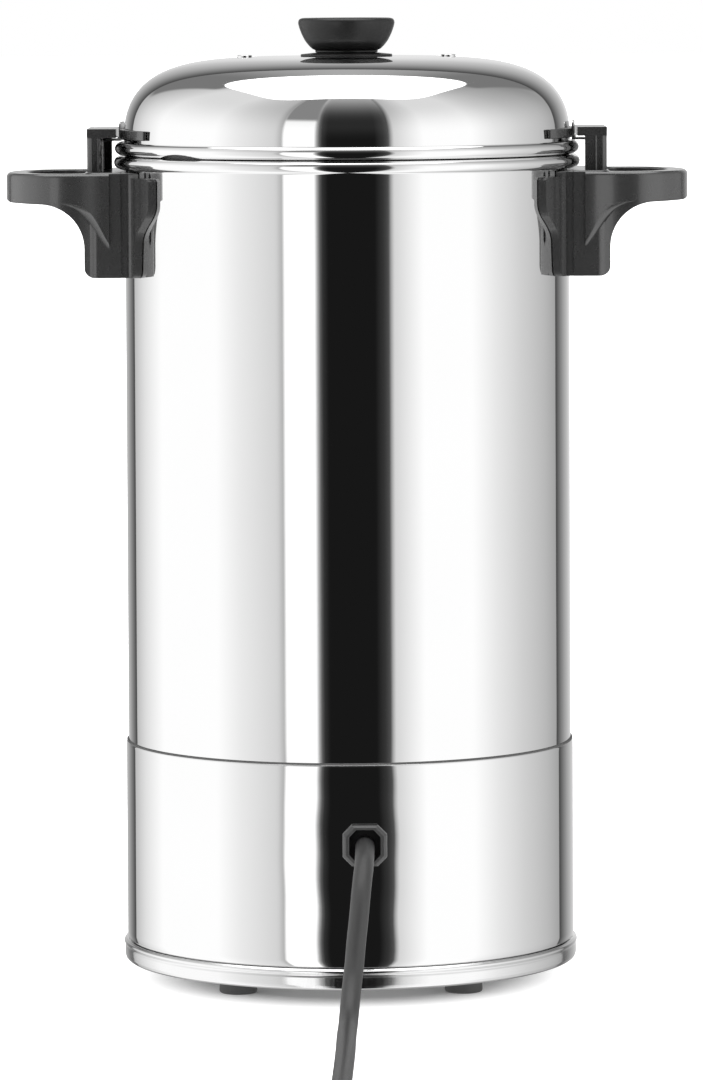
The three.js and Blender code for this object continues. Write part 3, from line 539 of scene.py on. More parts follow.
def cord_tie():
    """A flat strap round the wound cord, with the block that it locks in."""
    middle = sum(COIL_HEIGHTS) / 2
    radius = sum(COIL_RADII) / 2
    outer = round_rect(radius, middle, 9.9, 9.2, 3, 6)
    inner = round_rect(radius, middle, 9.2, 8.5, 2.6, 6)
    strap = cut(prism("cord_tie", outer, -2.4, 2.4, "Y"), prism("hole", inner, -9, 9, "Y"))
    lock = prism("lock", round_rect(radius + 11, middle - 3, 1.7, 3.2, 0.8, 4), -3.6, 3.6, "Y")
    strap = join(strap, lock)
    centre = Matrix.Translation((COIL_CENTRE[0] * MM, COIL_CENTRE[1] * MM, 0))
    moved(strap, centre @ Matrix.Rotation(math.radians(60), 4, "Z"))
    return dress(smooth(strap, 0.25), RUBBER, "kettle", "black_rubber", "cord_tie")


cord = make_cord()
cord_ends = [plug_body(), plug_pin(1, -1), plug_pin(2, 1), cord_tie()]
for piece in [cord, *cord_ends]:
    piece.visible_glossy = False  # the coil stays out of the steel's reflections

# ---- vessel and base ------------------------------------------------------------------------------
TAP_Y, TAP_Z, LEVER_Z = 130, 132, 168
VESSEL_R, INNER_R, VESSEL_LOW = 100.5, 99.7, 100
RIM_Z, RIM_R, BEAD = 370.9, 102.4, 3
SKIRT_R, SKIRT_TOP = 101.5, 108.6


def vessel():
    out = math.degrees(math.acos((VESSEL_R - RIM_R) / BEAD))
    back = math.degrees(math.acos((INNER_R - RIM_R) / BEAD))
    outline = [(0, VESSEL_LOW)]
    outline += arc(VESSEL_R - 4, VESSEL_LOW + 4, 4, -90, 0, 8)
    outline += [(VESSEL_R, z) for z in (120, 180, 240, 300, 350)]
    outline += arc(RIM_R, RIM_Z, BEAD, -out, back, 28)
    outline += arc(INNER_R - 3.4, VESSEL_LOW + 4.2, 3.4, 0, -90, 8)
    outline += [(0, VESSEL_LOW + 0.8)]
    pot = lathe("vessel", outline, ROUND_LARGE, closed=False)
    tap_hole = cylinder("hole", 7.4, 90, 110, 48, "Y", (0, 0, TAP_Z))
    return dress(smooth(cut(pot, tap_hole), angle=30), MIRROR, "kettle", "polished_steel", "vessel")


def base_skirt():
    outline = [(SKIRT_R - 0.7, 19.2), (SKIRT_R - 0.2, 18.9), (SKIRT_R, 19.2)]
    outline += [(SKIRT_R, 22 + 4 * i) for i in range(22)]
    top = (SKIRT_R, SKIRT_TOP - 1.5), (SKIRT_R, SKIRT_TOP - 0.3), (SKIRT_R - 0.6, SKIRT_TOP)
    outline += bezier(*top, steps=8)
    outline += [(SKIRT_R - 0.7, SKIRT_TOP - 0.2)]

    def pressed(r, z, angle):
        """Slightly flatter where the gland is pressed in, and never quite true."""
        off = angle - 1.5 * math.pi
        if abs(off) > math.pi / 8:
            return r, z
        depth = 0.1 + 0.04 * math.sin(z / 9) + 0.02 * math.sin(z / 4 + off * 9)
        return r - depth * (1 + math.cos(8 * off)) * ease(SKIRT_TOP - z, 0, 8) * ease(z, 19, 26), z

    skirt = lathe("base_skirt", outline, ROUND_LARGEST, shape=pressed)
    neck = cylinder("hole", 8.5, -110, -90, 48, "Y", (GLAND_X, 0, GLAND_Z))
    skirt = smooth(cut(skirt, neck), angle=40)
    return dress(skirt, MIRROR_BASE, "kettle", "polished_steel", "base_skirt")


def seam_shade_ring():
    """A thin dark ring where the vessel drops into the skirt: painted shade for the shadowed gap there.
    """
    outline = [(VESSEL_R - 0.2, SKIRT_TOP - 0.8), (SKIRT_R - 0.3, SKIRT_TOP - 0.3)]
    outline += [(SKIRT_R - 0.15, SKIRT_TOP + 0.3), (SKIRT_R - 0.5, SKIRT_TOP + 0.6)]
    outline += [(VESSEL_R - 0.2, SKIRT_TOP + 0.7)]
    seal = lathe("seam_shade_ring", softened(outline, 0.2), ROUND_LARGE)
    return dress(smooth(seal), RUBBER, "kettle", "black_rubber")


def base_ring():
    outline = [(99.9, 9.3), (100.5, 8.9), (101.2, 8.9), (102.3, 9.7), (102.75, 11), (102.8, 12.6)]
    outline += [(102.7, 14.4), (102.3, 15.3), (102.35, 15.6)]
    outline += arc(102.1, 16.9, 1.05, -60, 80, 8)
    outline += [(101.9, 18.3), (100.6, 18.5), (100.5, 18.8), (100.5, 24), (99.9, 24)]
    ring = lathe("base_ring", softened(outline, 0.25), ROUND_LARGE)
    return dress(smooth(ring, angle=50), SATIN_RING, "kettle", "polished_steel", "base_ring")


def foot(index):
    low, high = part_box(f"foot_{index}")
    middle = (low + high) / 2 / MM
    outline = [(0, 0.3), (5.6, 0.3), (6, 0), (7.6, 0), (8.3, 0.4), (8.5, 1.2), (8, 9)]
    outline += [(3, 9), (3, 10.6), (3.9, 10.6), (2.4, 13.3), (0, 13.3)]
    outline = softened(outline, 0.3, False)
    pad = lathe(f"rubber_foot_{index}", outline, 64, "Z", (middle.x, middle.y, 0), False)
    return dress(smooth(pad, angle=45), RUBBER, "kettle", "black_rubber", f"foot_{index}")


vessel()
base_skirt()
seam_shade_ring()
base_ring()
for number in range(1, 5):
    foot(number)


# ---- cord gland -----------------------------------------------------------------------------------
def octagon(half_width, half_height, flat_x, flat_y, at):
    corners = [(half_width, flat_y), (flat_x, half_height)]
    corners += [(-flat_x, half_height), (-half_width, flat_y)]
    corners += [(-x, -y) for x, y in corners]
    return [(x + at[0], y + at[1]) for x, y in corners]


def cord_gland():
    centre = (GLAND_X, GLAND_Z)
    full, face = octagon(9.8, 9.2, 5.6, 5, centre), octagon(8.5, 7.9, 4.9, 4.2, centre)
    levels = [(full, -101.4), (full, -103.3)]
    levels += [(octagon(9.5, 8.9, 5.5, 4.8, centre), -104.3), (face, GLAND_FACE)]
    flange = loft("cord_gland", levels, "Y")
    neck = cylinder("neck", 8.4, -102.5, -99, 48, "Y", (GLAND_X, 0, GLAND_Z))
    wide, narrow = octagon(6.9, 7.1, 3.9, 3.9, centre), octagon(6.6, 6.8, 3.7, 3.7, centre)
    pocket = loft("pocket", [(wide, -106), (wide, -104.6), (narrow, -103), (narrow, -99.3)], "Y")
    gland = cut(join(flange, neck), pocket)
    dress(smooth(gland, 0.3, 15), SATIN_PLASTIC, "kettle", "black_plastic", "cord_gland")
    # The faces inside the pocket take the near-black material: painted shade in the recess.
    gland.data.materials.append(PAINTED_RECESS_SHADE)
    for face in gland.data.polygons:
        off = (face.center - put(GLAND_X, -104.5, GLAND_Z)) / MM
        face.material_index = int(off.y > 0 and max(abs(off.x), abs(off.z)) < 7.3)


cord_gland()

# ---- handles --------------------------------------------------------------------------------------
BORE_R = 100.8
BLOCK_FACE, GRIP_REACH, GRIP_TOP = 117.7, 154, 366.7
HANDLE_LOW, HANDLE_TOP, HOOK_TOP = 320, 367.2, 386.3
LOOP_START, LOOP_WIDEST = 106.5, 125


def handle_profile():
    outline = [(80, HANDLE_LOW)]
    outline += arc(BLOCK_FACE - 4.5, HANDLE_LOW + 4.5, 4.5, -90, 0, 10)
    outline += arc(BLOCK_FACE + 20, 333, 20, 180, 90, 28)
    outline += arc(GRIP_REACH - 3, 356.4, 3, -90, 0, 8)
    outline += arc(GRIP_REACH - 2.6, GRIP_TOP - 2.6, 2.6, 0, 90, 8)
    return outline + [(BLOCK_FACE, GRIP_TOP), (BLOCK_FACE - 1.5, HANDLE_TOP), (80, HANDLE_TOP)]


def loop_profile(share):
    """The lower edge of a slice of the loop's skin: share 0 is the outermost slice."""
    fall = 5 * share
    curve = [(LOOP_START, 338 - fall), (109 + fall, 345 - fall)]
    curve += [(111.5 + fall, 352.6), (LOOP_WIDEST + fall, 353.6)]
    lower = bezier(*curve, steps=40)
    top = [(GRIP_REACH + 1, 354.4), (GRIP_REACH + 1, GRIP_TOP + 5), (LOOP_START, GRIP_TOP + 5)]
    return lower + top


def mirrored_plan(half):
    """Closes an outline whose points run along the -Y side from the vessel outwards."""
    return half + [(x, -y) for x, y in reversed(half)]


def block_plan(inset=0):
    steps = [(85, 39.5), (97.7, 37.5), (98, 35.4), (101.1, 35.4), (101.4, 36.4)]
    side = [(x, inset - half) for x, half in steps]
    return mirrored_plan(side + arc(111.7, -30.4, 6 - inset, -90, 0, 20))


def loop_plan(half_width, inset=0):
    half, reach = half_width - inset, GRIP_REACH - inset
    curve = [(LOOP_START, 2.4 - half), (113, 2.4 - half), (117, -half), (LOOP_WIDEST, -half)]
    inner = bezier(*curve, steps=20)
    far = bezier((LOOP_WIDEST, -half), (143, -half), (reach, 14 - half), (reach, 0), steps=48)
    return mirrored_plan(inner + far[1:-1])


def finger_plan(inset=0):
    start, end, half = 118.5 - inset, 144.8 + inset, 31 + inset
    inner = bezier((start, 6 - half), (start, -half), (LOOP_WIDEST, -half), steps=16)
    far = bezier((LOOP_WIDEST, -half), (137, -half), (end, 12 - half), (end, 0), steps=48)
    return mirrored_plan(inner + far[1:-1])


def topped(name, plan, top, radius, opening=False):
    """A block with its plan's top edge rounded off, or a hole with its top edge opened out."""
    levels = [(plan(0), 300)]
    for i in range(9):
        angle = math.pi / 2 * i / 8
        levels.append((plan(radius * (1 - math.cos(angle))), top - radius * (1 - math.sin(angle))))
    if opening:
        levels.append((plan(radius), top + 10))
    return loft(name, levels)


def wings():
    half = bezier((38, HANDLE_LOW), (41.5, HANDLE_LOW), (41.8, HANDLE_LOW + 4), steps=8)
    half += bezier((42.6, 336), (44, 343), (54.2, 346), (54.4, 353), steps=24)
    half += [(54.4, 363.5), (53.2, 364.7)]
    outline = half + [(-y, z) for y, z in reversed(half)]
    shell = shell_sector("wings", BORE_R - 0.6, BORE_R + 3, 36, HANDLE_LOW - 1, HANDLE_TOP, steps=96)
    return common(shell, prism("outline", outline, 70, 120, "X"))


def box(name, x, y, z):
    outline = [(x[0], y[0]), (x[1], y[0]), (x[1], y[1]), (x[0], y[1])]
    return prism(name, outline, *z)


def handle(name):
    block = topped(name, block_plan, HANDLE_TOP, 1.2)
    core = topped("core", lambda inset: loop_plan(36.5, inset), GRIP_TOP, 2)
    body = common(join(block, core), prism("profile", handle_profile(), -50, 50, "Y"))
    shares = [i / 8 for i in range(9)]
    levels = [(loop_profile(share), -40.5 + 4 * math.sin(math.pi / 2 * share)) for share in shares]
    levels += [(outline, -y) for outline, y in reversed(levels)]
    plan = topped("plan", lambda inset: loop_plan(40, inset), GRIP_TOP, 2)
    body = join(body, common(loft("skin", levels, "Y"), plan))
    body = cut(body, topped("finger", finger_plan, GRIP_TOP, 1, opening=True))
    hook = prism("post", round_rect(113.55, 0, 3.35, 21, 2.4), 360, HOOK_TOP)
    hook = join(hook, box("roof", (103.8, 116.9), (-21, 21), (HOOK_TOP - 4, HOOK_TOP)))
    hook = join(hook, box("stop", (107, 111.2), (-21, -18), (360, HOOK_TOP)))
    bore = cylinder("bore", BORE_R, 300, 400, ROUND_LARGE)
    return cut(join(body, wings(), hook), bore)


right = handle("handle_right")
left = copied(right, "handle_left", Matrix.Rotation(math.pi, 4, "Z"))
for side, piece in (("right", right), ("left", left)):
    dress(smooth(piece, 0.6, 24, crease=12), PLASTIC, "kettle", "black_plastic", f"handle_{side}")

# ---- lid ------------------------------------------------------------------------------------------
LID_R, LID_WALL, LID_TOP, LID_SPRING = 101, 0.7, 418.4, 379.85
LID_BEAD_Z, LID_BEAD_R = 377.15, 102
VENT_X, NOTCH_ANGLE, NOTCH_R = 46, -136, 46
DOME_POWERS = (2 / 4.894, 2 / 2.505)  # of the superellipse, outwards and upwards
LUG_TURN = Matrix.Rotation(math.radians(-4), 4, "Z")


def dome(radius, top, steps):
    points = []
    for i in range(steps + 1):
        angle = math.pi / 2 * (1 - i / steps)
        r = radius * math.sin(angle) ** DOME_POWERS[0] if angle else 0
        points.append((r, LID_SPRING + (top - LID_SPRING) * math.cos(angle) ** DOME_POWERS[1]))
    return points


def even(points, spacing):
    """The same line with its points spread evenly, so that its shading is even too."""
    lengths = [0]
    for a, b in zip(points, points[1:]):
        lengths.append(lengths[-1] + math.dist(a, b))
    count = max(2, round(lengths[-1] / spacing))
    out, k = [], 0
    for i in range(count + 1):
        want = lengths[-1] * i / count
        while k < len(points) - 2 and lengths[k + 1] < want:
            k += 1
        t = (want - lengths[k]) / (lengths[k + 1] - lengths[k])
        out.append(tuple(Vector(points[k]).lerp(Vector(points[k + 1]), t)))
    return out


def lid_shell():
    inner_r = LID_R - LID_WALL
    out = math.degrees(math.acos((LID_R - LID_BEAD_R) / BEAD))
    back = math.degrees(math.acos((inner_r - LID_BEAD_R) / BEAD))
    outline = arc(LID_BEAD_R, LID_BEAD_Z, BEAD, -back, out, 28)
    outline += even(dome(LID_R, LID_TOP, 400), 1.6)[1:]
    outline += even(dome(inner_r, LID_TOP - LID_WALL, 400), 3)[::-1]
    outline = [(max(0, r), z) for r, z in outline]

    def notched(r, z, angle):
        """Lifts the bead's underside where steam leaves."""
        off = (math.degrees(angle) - NOTCH_ANGLE + 180) % 360 - 180
        across = r * math.sin(math.radians(off))
        if r < 95 or abs(off) > 20 or z > LID_BEAD_Z + 1:
            return r, z
        roof = LID_BEAD_Z - BEAD - NOTCH_R + 2 + math.sqrt(max(0, NOTCH_R**2 - across**2))
        return r, max(z, roof)

    shell = lathe("lid_shell", outline, ROUND_LARGEST, closed=False, shape=notched)
    for side in (-1, 1):
        at = (side * VENT_X, 0, 0)
        rise = softened([(0, 417), (3.6, 417), (3.2, 418.9), (0, 418.9)], 0.3, False)
        boss = lathe("boss", rise, 48, at=at)
        hole = cylinder("hole", 1.9, 410, 425, 48, at=at)
        shell = cut(join(shell, boss), hole)
    return dress(smooth(shell, angle=30), MIRROR, "lid", "polished_steel", "lid_shell")


def lid_gap_shade_ring():
    """A dark ring behind the bead, seen in the gap between lid and vessel: painted shade for the shadow
    in that gap.
    """
    outline = softened([(99.95, 373.6), (100.7, 373.6), (100.7, 376), (99.95, 376)], 0.15)
    return dress(smooth(lathe("lid_gap_shade_ring", outline)), RUBBER, "lid", "black_rubber")


def lid_knob():
    outline = [(0, 419.9), (13.9, 419.9), (14.1, 420.2), (14.1, 421.1), (15.4, 421.5), (17.2, 423.3)]
    outline += [(18.8, 425.4), (20.3, 428.4), (21.4, 431.4), (21.9, 433.6), (21.3, 435.1), (19.6, 435.6)]
    outline += [(16.5, 435.55), (12, 435.1), (0, 434.9)]
    knob = lathe("lid_knob", softened(outline, 1.1, False, 5), 192, closed=False)
    return dress(smooth(knob, angle=50), KNOB_PLASTIC, "lid", "black_plastic", "lid_knob")


def lid_knob_washer():
    outline = softened([(5, 418.45), (20.8, 418.45), (20.6, 419.2), (15, 419.8), (5, 419.8)], 0.2)
    disc = lathe("lid_knob_washer", outline, 128)
    return dress(smooth(disc), KNOB_PLASTIC, "lid", "black_plastic", "lid_knob_washer")


def lid_tab(name):
    low = LID_BEAD_Z + BEAD + 0.3
    fin = prism(name, round_rect(0, (low + 389) / 2, 9, (389 - low) / 2, 1.6, 5), 102, 102.8, "X")
    tongue = prism("tongue", round_rect(105.75, 0, 3.75, 9, 1.2, 5), low, low + 0.8)
    foot_bend = box("bend", (102, 103.4), (-9, 9), (low, low + 2))
    return moved(join(fin, foot_bend, tongue), LUG_TURN)


def lid_guard(name):
    bar = shell_sector(name, LID_R + 0.3, LID_R + 1.8, 28, 381.6, 385.9)
    seat = box("seat", (101.7, 110), (-9.3, 9.3), (380, 390))
    return cut(bar, moved(seat, LUG_TURN))


lid_shell()
lid_gap_shade_ring()
lid_knob()
lid_knob_washer()
for side, turn in (("right", 0), ("left", math.pi)):
    spin = Matrix.Rotation(turn, 4, "Z")
    tab = moved(lid_tab(f"lid_tab_{side}"), spin)
    dress(smooth(tab, 0.18), STEEL, "lid", "plain_steel", f"lid_tab_{side}")
    guard = moved(lid_guard(f"lid_guard_{side}"), spin)
    dress(smooth(guard, 0.35), PLASTIC, "lid", "black_plastic", f"lid_guard_{side}")

# ---- controls on the front ------------------------------------------------------------------------
PLATE_R, PLATE_FRONT, DIAL_BACK = 101.8, 103.8, 104.1
DIAL_Z, SWITCH_Z, LAMP_Z = 72, 44, 96
SWITCH_TILT, SWITCH_AXIS_Y = 7, 99.5


def control_plate():
    shell = shell_sector("control_plate", PLATE_R, PLATE_FRONT, 15, 20, 108, 90)
    return common(shell, prism("outline", round_rect(0, 68, 22, 39, 21.9, 24), 90, 110, "Y"))


def dial_knob():
    outline = [(0, DIAL_BACK), (16.2, DIAL_BACK), (16.5, DIAL_BACK + 0.4), (16.5, DIAL_BACK + 2.6)]
    outline += [(14.2, DIAL_BACK + 4), (13.2, DIAL_BACK + 12.6), (12.2, DIAL_BACK + 14)]
    outline += [(0, DIAL_BACK + 14)]

    def fluted(r, along, angle):
        deep = 0.35 * ease(along, DIAL_BACK + 3.6, DIAL_BACK + 5) if r > 12 else 0
        return r - deep * (0.5 + 0.5 * math.cos(24 * angle)), along

    knob = lathe("dial_knob", softened(outline, 0.6, False), 192, "Y", (0, 0, DIAL_Z), False, fluted)
    ridge = round_rect(0, DIAL_Z, 1.8, 12, 1.6, 6)
    return join(knob, prism("ridge", ridge, DIAL_BACK + 12, DIAL_BACK + 15.5, "Y"))


def dial_pointer():
    line = round_rect(0, DIAL_Z + 8, 0.6, 3.4, 0.5, 4)
    return prism("dial_pointer", line, DIAL_BACK + 15, DIAL_BACK + 15.6, "Y")


def dial_scale():
    """Nine short printed lines round the dial, long ones at the ends and the middle."""
    marks = None
    for i in range(9):
        angle = math.radians(-135 + 33.75 * i)
        length = 1.5 if i % 4 == 0 else 1
        line = round_rect(0, 18.6 + length / 2, 0.35, length / 2 + 0.3, 0.3, 3)
        bar = prism("dial_scale", line, 90, 110, "Y")
        turn = Matrix.Rotation(angle, 4, "Y")
        centre = Matrix.Translation(put(0, 0, DIAL_Z))
        moved(bar, centre @ turn @ Matrix.Translation(-put(0, 0, 0)))
        marks = bar if marks is None else join(marks, bar)
    film = shell_sector("film", PLATE_FRONT - 0.2, PLATE_FRONT + 0.06, 15, 20, 108, 90)
    return common(marks, film)


def switch_housing():
    edge = round_rect(0, SWITCH_Z, 12.5, 9.5, 2.5)
    bezel = prism("switch_housing", edge, DIAL_BACK, DIAL_BACK + 1.8, "Y")
    can = prism("can", round_rect(0, SWITCH_Z, 9.8, 7.8, 0.5), 84, DIAL_BACK + 1, "Y")
    pocket = prism("pocket", round_rect(0, SWITCH_Z, 8.6, 6.7, 0.6), 96, 120, "Y")
    return cut(join(bezel, can), pocket)


def switch_rocker():
    """The rocker, drawn level; laid_over() then tips it to its off side."""
    outline = [(97, -3), (105.2, -5.2), (107.2, -5.2)]
    outline += bezier((107.4, -5), (105.9, 0), (107.4, 5), steps=8) + [(105.2, 5.2), (97, 3)]
    return prism("switch_rocker", [(y, z + SWITCH_Z) for y, z in outline], -8, 8, "X")


def laid_over(thing):
    centre = Matrix.Translation(put(0, SWITCH_AXIS_Y, SWITCH_Z))
    tip = Matrix.Rotation(math.radians(-SWITCH_TILT), 4, "X")
    return moved(thing, centre @ tip @ centre.inverted())


def rocker_marks():
    depth = (106.4, 107.05)
    line = round_rect(0, SWITCH_Z + 3.2, 0.35, 1.1, 0.3, 3)
    bar = prism("rocker_mark_bar", line, *depth, "Y")
    ring = prism("rocker_mark_ring", arc(0, SWITCH_Z - 3.2, 1.25, 0, 352, 44), *depth, "Y")
    hole = prism("hole", arc(0, SWITCH_Z - 3.2, 0.75, 0, 352, 44), 100, 110, "Y")
    return bar, cut(ring, hole)


def pilot_lamp():
    outline = [(0, 88), (3.6, 88), (3.6, DIAL_BACK), (4.7, DIAL_BACK), (4.8, DIAL_BACK + 0.3)]
    outline += [(4.6, DIAL_BACK + 1.3), (3.9, DIAL_BACK + 2.3), (2.4, DIAL_BACK + 3.05)]
    outline += [(0, DIAL_BACK + 3.3)]
    return lathe("pilot_lamp", softened(outline, 0.4, False, 4), 96, "Y", (0, 0, LAMP_Z), False)


dress(smooth(control_plate(), 0.5), PLASTIC, "kettle", "black_plastic", "control_plate")
dress(smooth(dial_knob(), 0.3, 40), KNOB_PLASTIC, "dial", "black_plastic", "dial_knob")
dress(smooth(dial_pointer(), 0.1), MARKS, "dial", "black_plastic")
dress(smooth(dial_scale()), MARKS, "kettle", "black_plastic")
dress(smooth(switch_housing(), 0.35), PLASTIC, "kettle", "black_plastic", "switch_housing")
rocker = laid_over(smooth(switch_rocker(), 0.5))
dress(rocker, KNOB_PLASTIC, "switch_rocker", "black_plastic", "switch_rocker")
for mark in rocker_marks():
    dress(laid_over(smooth(mark)), MARKS, "switch_rocker", "black_plastic")
dress(smooth(pilot_lamp()), LENS, "kettle", "red_lens", "pilot_lamp")

# ---- tap ------------------------------------------------------------------------------------------
BARREL_TOP, SEAT_Z = 146, 123


def rod(name, radius, low, high, axis, at, segments=FINE, soft=0.4):
    outline = softened([(0, low), (radius, low), (radius, high), (0, high)], soft, False)
    return lathe(name, outline, segments, axis, at, False)


def tap_body():
    outline = [(0, 110), (7.2, 110), (8, 111), (8.6, 116), (11.6, 120.4), (12, 121.6)]
    outline += [(12, BARREL_TOP), (0, BARREL_TOP)]
    barrel = lathe("tap_body", softened(outline, 0.7, False), FINE, at=(0, TAP_Y, 0), closed=False)
    along = (0, 0, TAP_Z)
    barrel = join(
        barrel,
        rod("neck", 8.4, 104, TAP_Y - 5, "Y", along),
        rod("flange", 12, 103.1, 106, "Y", along, soft=0.8),
        rod("shank", 7, 88, 120, "Y", along),
    )
    return cut(
        barrel,
        rod("chamber", 9, SEAT_Z, BARREL_TOP + 5, "Z", (0, TAP_Y, 0), soft=0.01),
        rod("outlet", 5, 100, SEAT_Z + 1, "Z", (0, TAP_Y, 0), soft=0.01),
        rod("inlet", 4.5, 80, TAP_Y - 4, "Y", along, soft=0.01),
    )


def pin_hole():
    return rod("pin_hole", 2.35, -12, 12, "X", (0, TAP_Y, LEVER_Z), soft=0.01)


def ear(x_low, x_high):
    outline = [(TAP_Y - 7, 154), (TAP_Y + 7, 154), (TAP_Y + 5.5, LEVER_Z)]
    outline += arc(TAP_Y, LEVER_Z, 5.5, 0, 180, 20)
    return prism("ear", outline, x_low, x_high, "X")


def tap_bonnet():
    """The bonnet with its ears, hollow underneath, where the lifted spring needs room."""
    outline = [(8.7, 146.3), (13, 146.3), (13.4, 147), (13.4, 153), (11.5, 156.5), (3, 158)]
    outline += [(3, 151.6), (8.7, 151.6)]

    def knurled(r, z, angle):
        if r > 13 and 147 < z < 153:
            r -= 0.3 * (0.5 + 0.5 * math.cos(32 * angle))
        return r, z

    cap = lathe("tap_bonnet", softened(outline, 0.6), 256, at=(0, TAP_Y, 0), shape=knurled)
    cap = join(cap, ear(-8.6, -5.2), ear(5.2, 8.6))
    return cut(cap, pin_hole())


def tap_lever():
    curve = [(4, LEVER_Z), (4, LEVER_Z + 14), (9, LEVER_Z + 20), (9, LEVER_Z + 34)]
    side = bezier(*curve, steps=14)
    outline = side + arc(0, LEVER_Z + 37, 9, 0, 180, 24) + [(-x, z) for x, z in reversed(side)]
    paddle = prism("tap_lever", outline, TAP_Y - 3.2, TAP_Y + 3.2, "Y")
    lever = join(paddle, rod("hub", 5.4, -4.9, 4.9, "X", (0, TAP_Y, LEVER_Z), 64))
    return cut(lever, pin_hole())


dress(smooth(tap_body(), 0.4, 40), MIRROR, "kettle", "polished_steel", "tap_body")
dress(smooth(tap_bonnet(), 0.4, 50), PLASTIC, "kettle", "black_plastic", "tap_bonnet")
dress(smooth(tap_lever(), 1.2, 50), KNOB_PLASTIC, "tap_lever", "black_plastic", "tap_lever")
pin = rod("tap_pin", 2, -8.6, 8.6, "X", (0, TAP_Y, LEVER_Z), 48)
dress(smooth(pin), STEEL, "kettle", "plain_steel", "tap_pin")
for name, low, high in (("tap_washer_outer", 100.8, 102.8), ("tap_washer_inner", 96.2, 98.7)):
    ring = softened([(7.3, low), (11, low), (11, high), (7.3, high)], 0.5)
    dress(smooth(lathe(name, ring, FINE, "Y", (0, 0, TAP_Z))), SILICONE, "kettle", "silicone", name)

# ---- the CAD nodes that stay ----------------------------------------------------------------------
for part in frame["record"]["subparts"]:
    kept = frame["nodes"][part["node"]]
    kept.data.materials.clear()
    kept.data.materials.append(SLOT_LOOKS[part["material_slot"]])


# ---- studio ---------------------------------------------------------------------------------------
FLOOR_REACH = 30000
SHADOW_EDGES = (0.064, 0.109)  # metres from the kettle's axis, where the shadow starts to fade and ends


def make_floor():
    corners = [(-1, -1), (1, -1), (1, 1), (-1, 1)]
    verts = [(x * FLOOR_REACH, y * FLOOR_REACH, 0) for x, y in corners]
    floor = mesh_object("floor", verts, [[0, 1, 2, 3]])
    look = bpy.data.materials.new("pale_floor")
    look.use_nodes = True
    nodes, links = look.node_tree.nodes, look.node_tree.links
    shader = nodes["Principled BSDF"]
    shader.inputs["Base Color"].default_value = (0.86, 0.86, 0.86, 1)
    shader.inputs["Roughness"].default_value = 0.9
    shader.inputs["Emission Color"].default_value = (1, 1, 1, 1)
    # The floor glows white, and the glow fades out in a disc under the kettle: painted shadow, which
    # shapes the contact shadow there together with the cast one.
    place = nodes.new("ShaderNodeTexCoord")
    distance = nodes.new("ShaderNodeVectorMath")
    distance.operation = "LENGTH"
    painted_shadow_fade = nodes.new("ShaderNodeMapRange")
    painted_shadow_fade.interpolation_type = "SMOOTHSTEP"
    painted_shadow_fade.inputs["From Min"].default_value, painted_shadow_fade.inputs["From Max"].default_value = SHADOW_EDGES
    links.new(place.outputs["Object"], distance.inputs[0])
    links.new(distance.outputs["Value"], painted_shadow_fade.inputs["Value"])
    links.new(painted_shadow_fade.outputs["Result"], shader.inputs["Emission Strength"])
    floor.data.materials.append(look)
    floor.visible_glossy = False
    floor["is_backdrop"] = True


# Light panels round the kettle: (degrees round from the camera towards +X, brightness).
WALL = [
    (-145, 0.53),
    (-132, 0.77),
    (-113, 1.05),
    (-72, 1.05),
    (-58, 0.87),
    (-37.5, 0.69),
    (-35.2, 0.6),
    (-34.7, 0.1),
    (-33.9, 0.1),
    (-33.5, 1.1),
    (-16.6, 1.1),
    (-15.2, 0.25),
    (-13.5, 0.04),
    (-10, 0.009),
    (14, 0.009),
    (19, 0.04),
    (21.3, 0.09),
    (22.3, 0.36),
    (23.4, 0.68),
    (39.5, 1.05),
    (67, 1.05),
    (83, 0.84),
    (101, 0.665),
    (123, 0.51),
    (137, 0.38),
]
# The backdrop behind the kettle: (how squarely a direction points behind it, brightness).
BACKDROP = [
    (0.79, 0.07),
    (0.81, 0.11),
    (0.84, 0.18),
    (0.88, 0.28),
    (0.91, 0.37),
    (0.94, 0.46),
    (0.97, 0.57),
    (1, 0.8),
]
BACKDROP_START = 0.75
# The soft box overhead: its middle and its half sizes, as the slope of the direction to it.
BOX_MIDDLE, BOX_HALF = (-0.01, 0.13), (0.57, 0.57)
BOX_POWER, BOX_BRIGHTNESS = 4.5, 2.3
DIFFUSE_GAIN = 1.35  # extra light for everything that is not a reflection


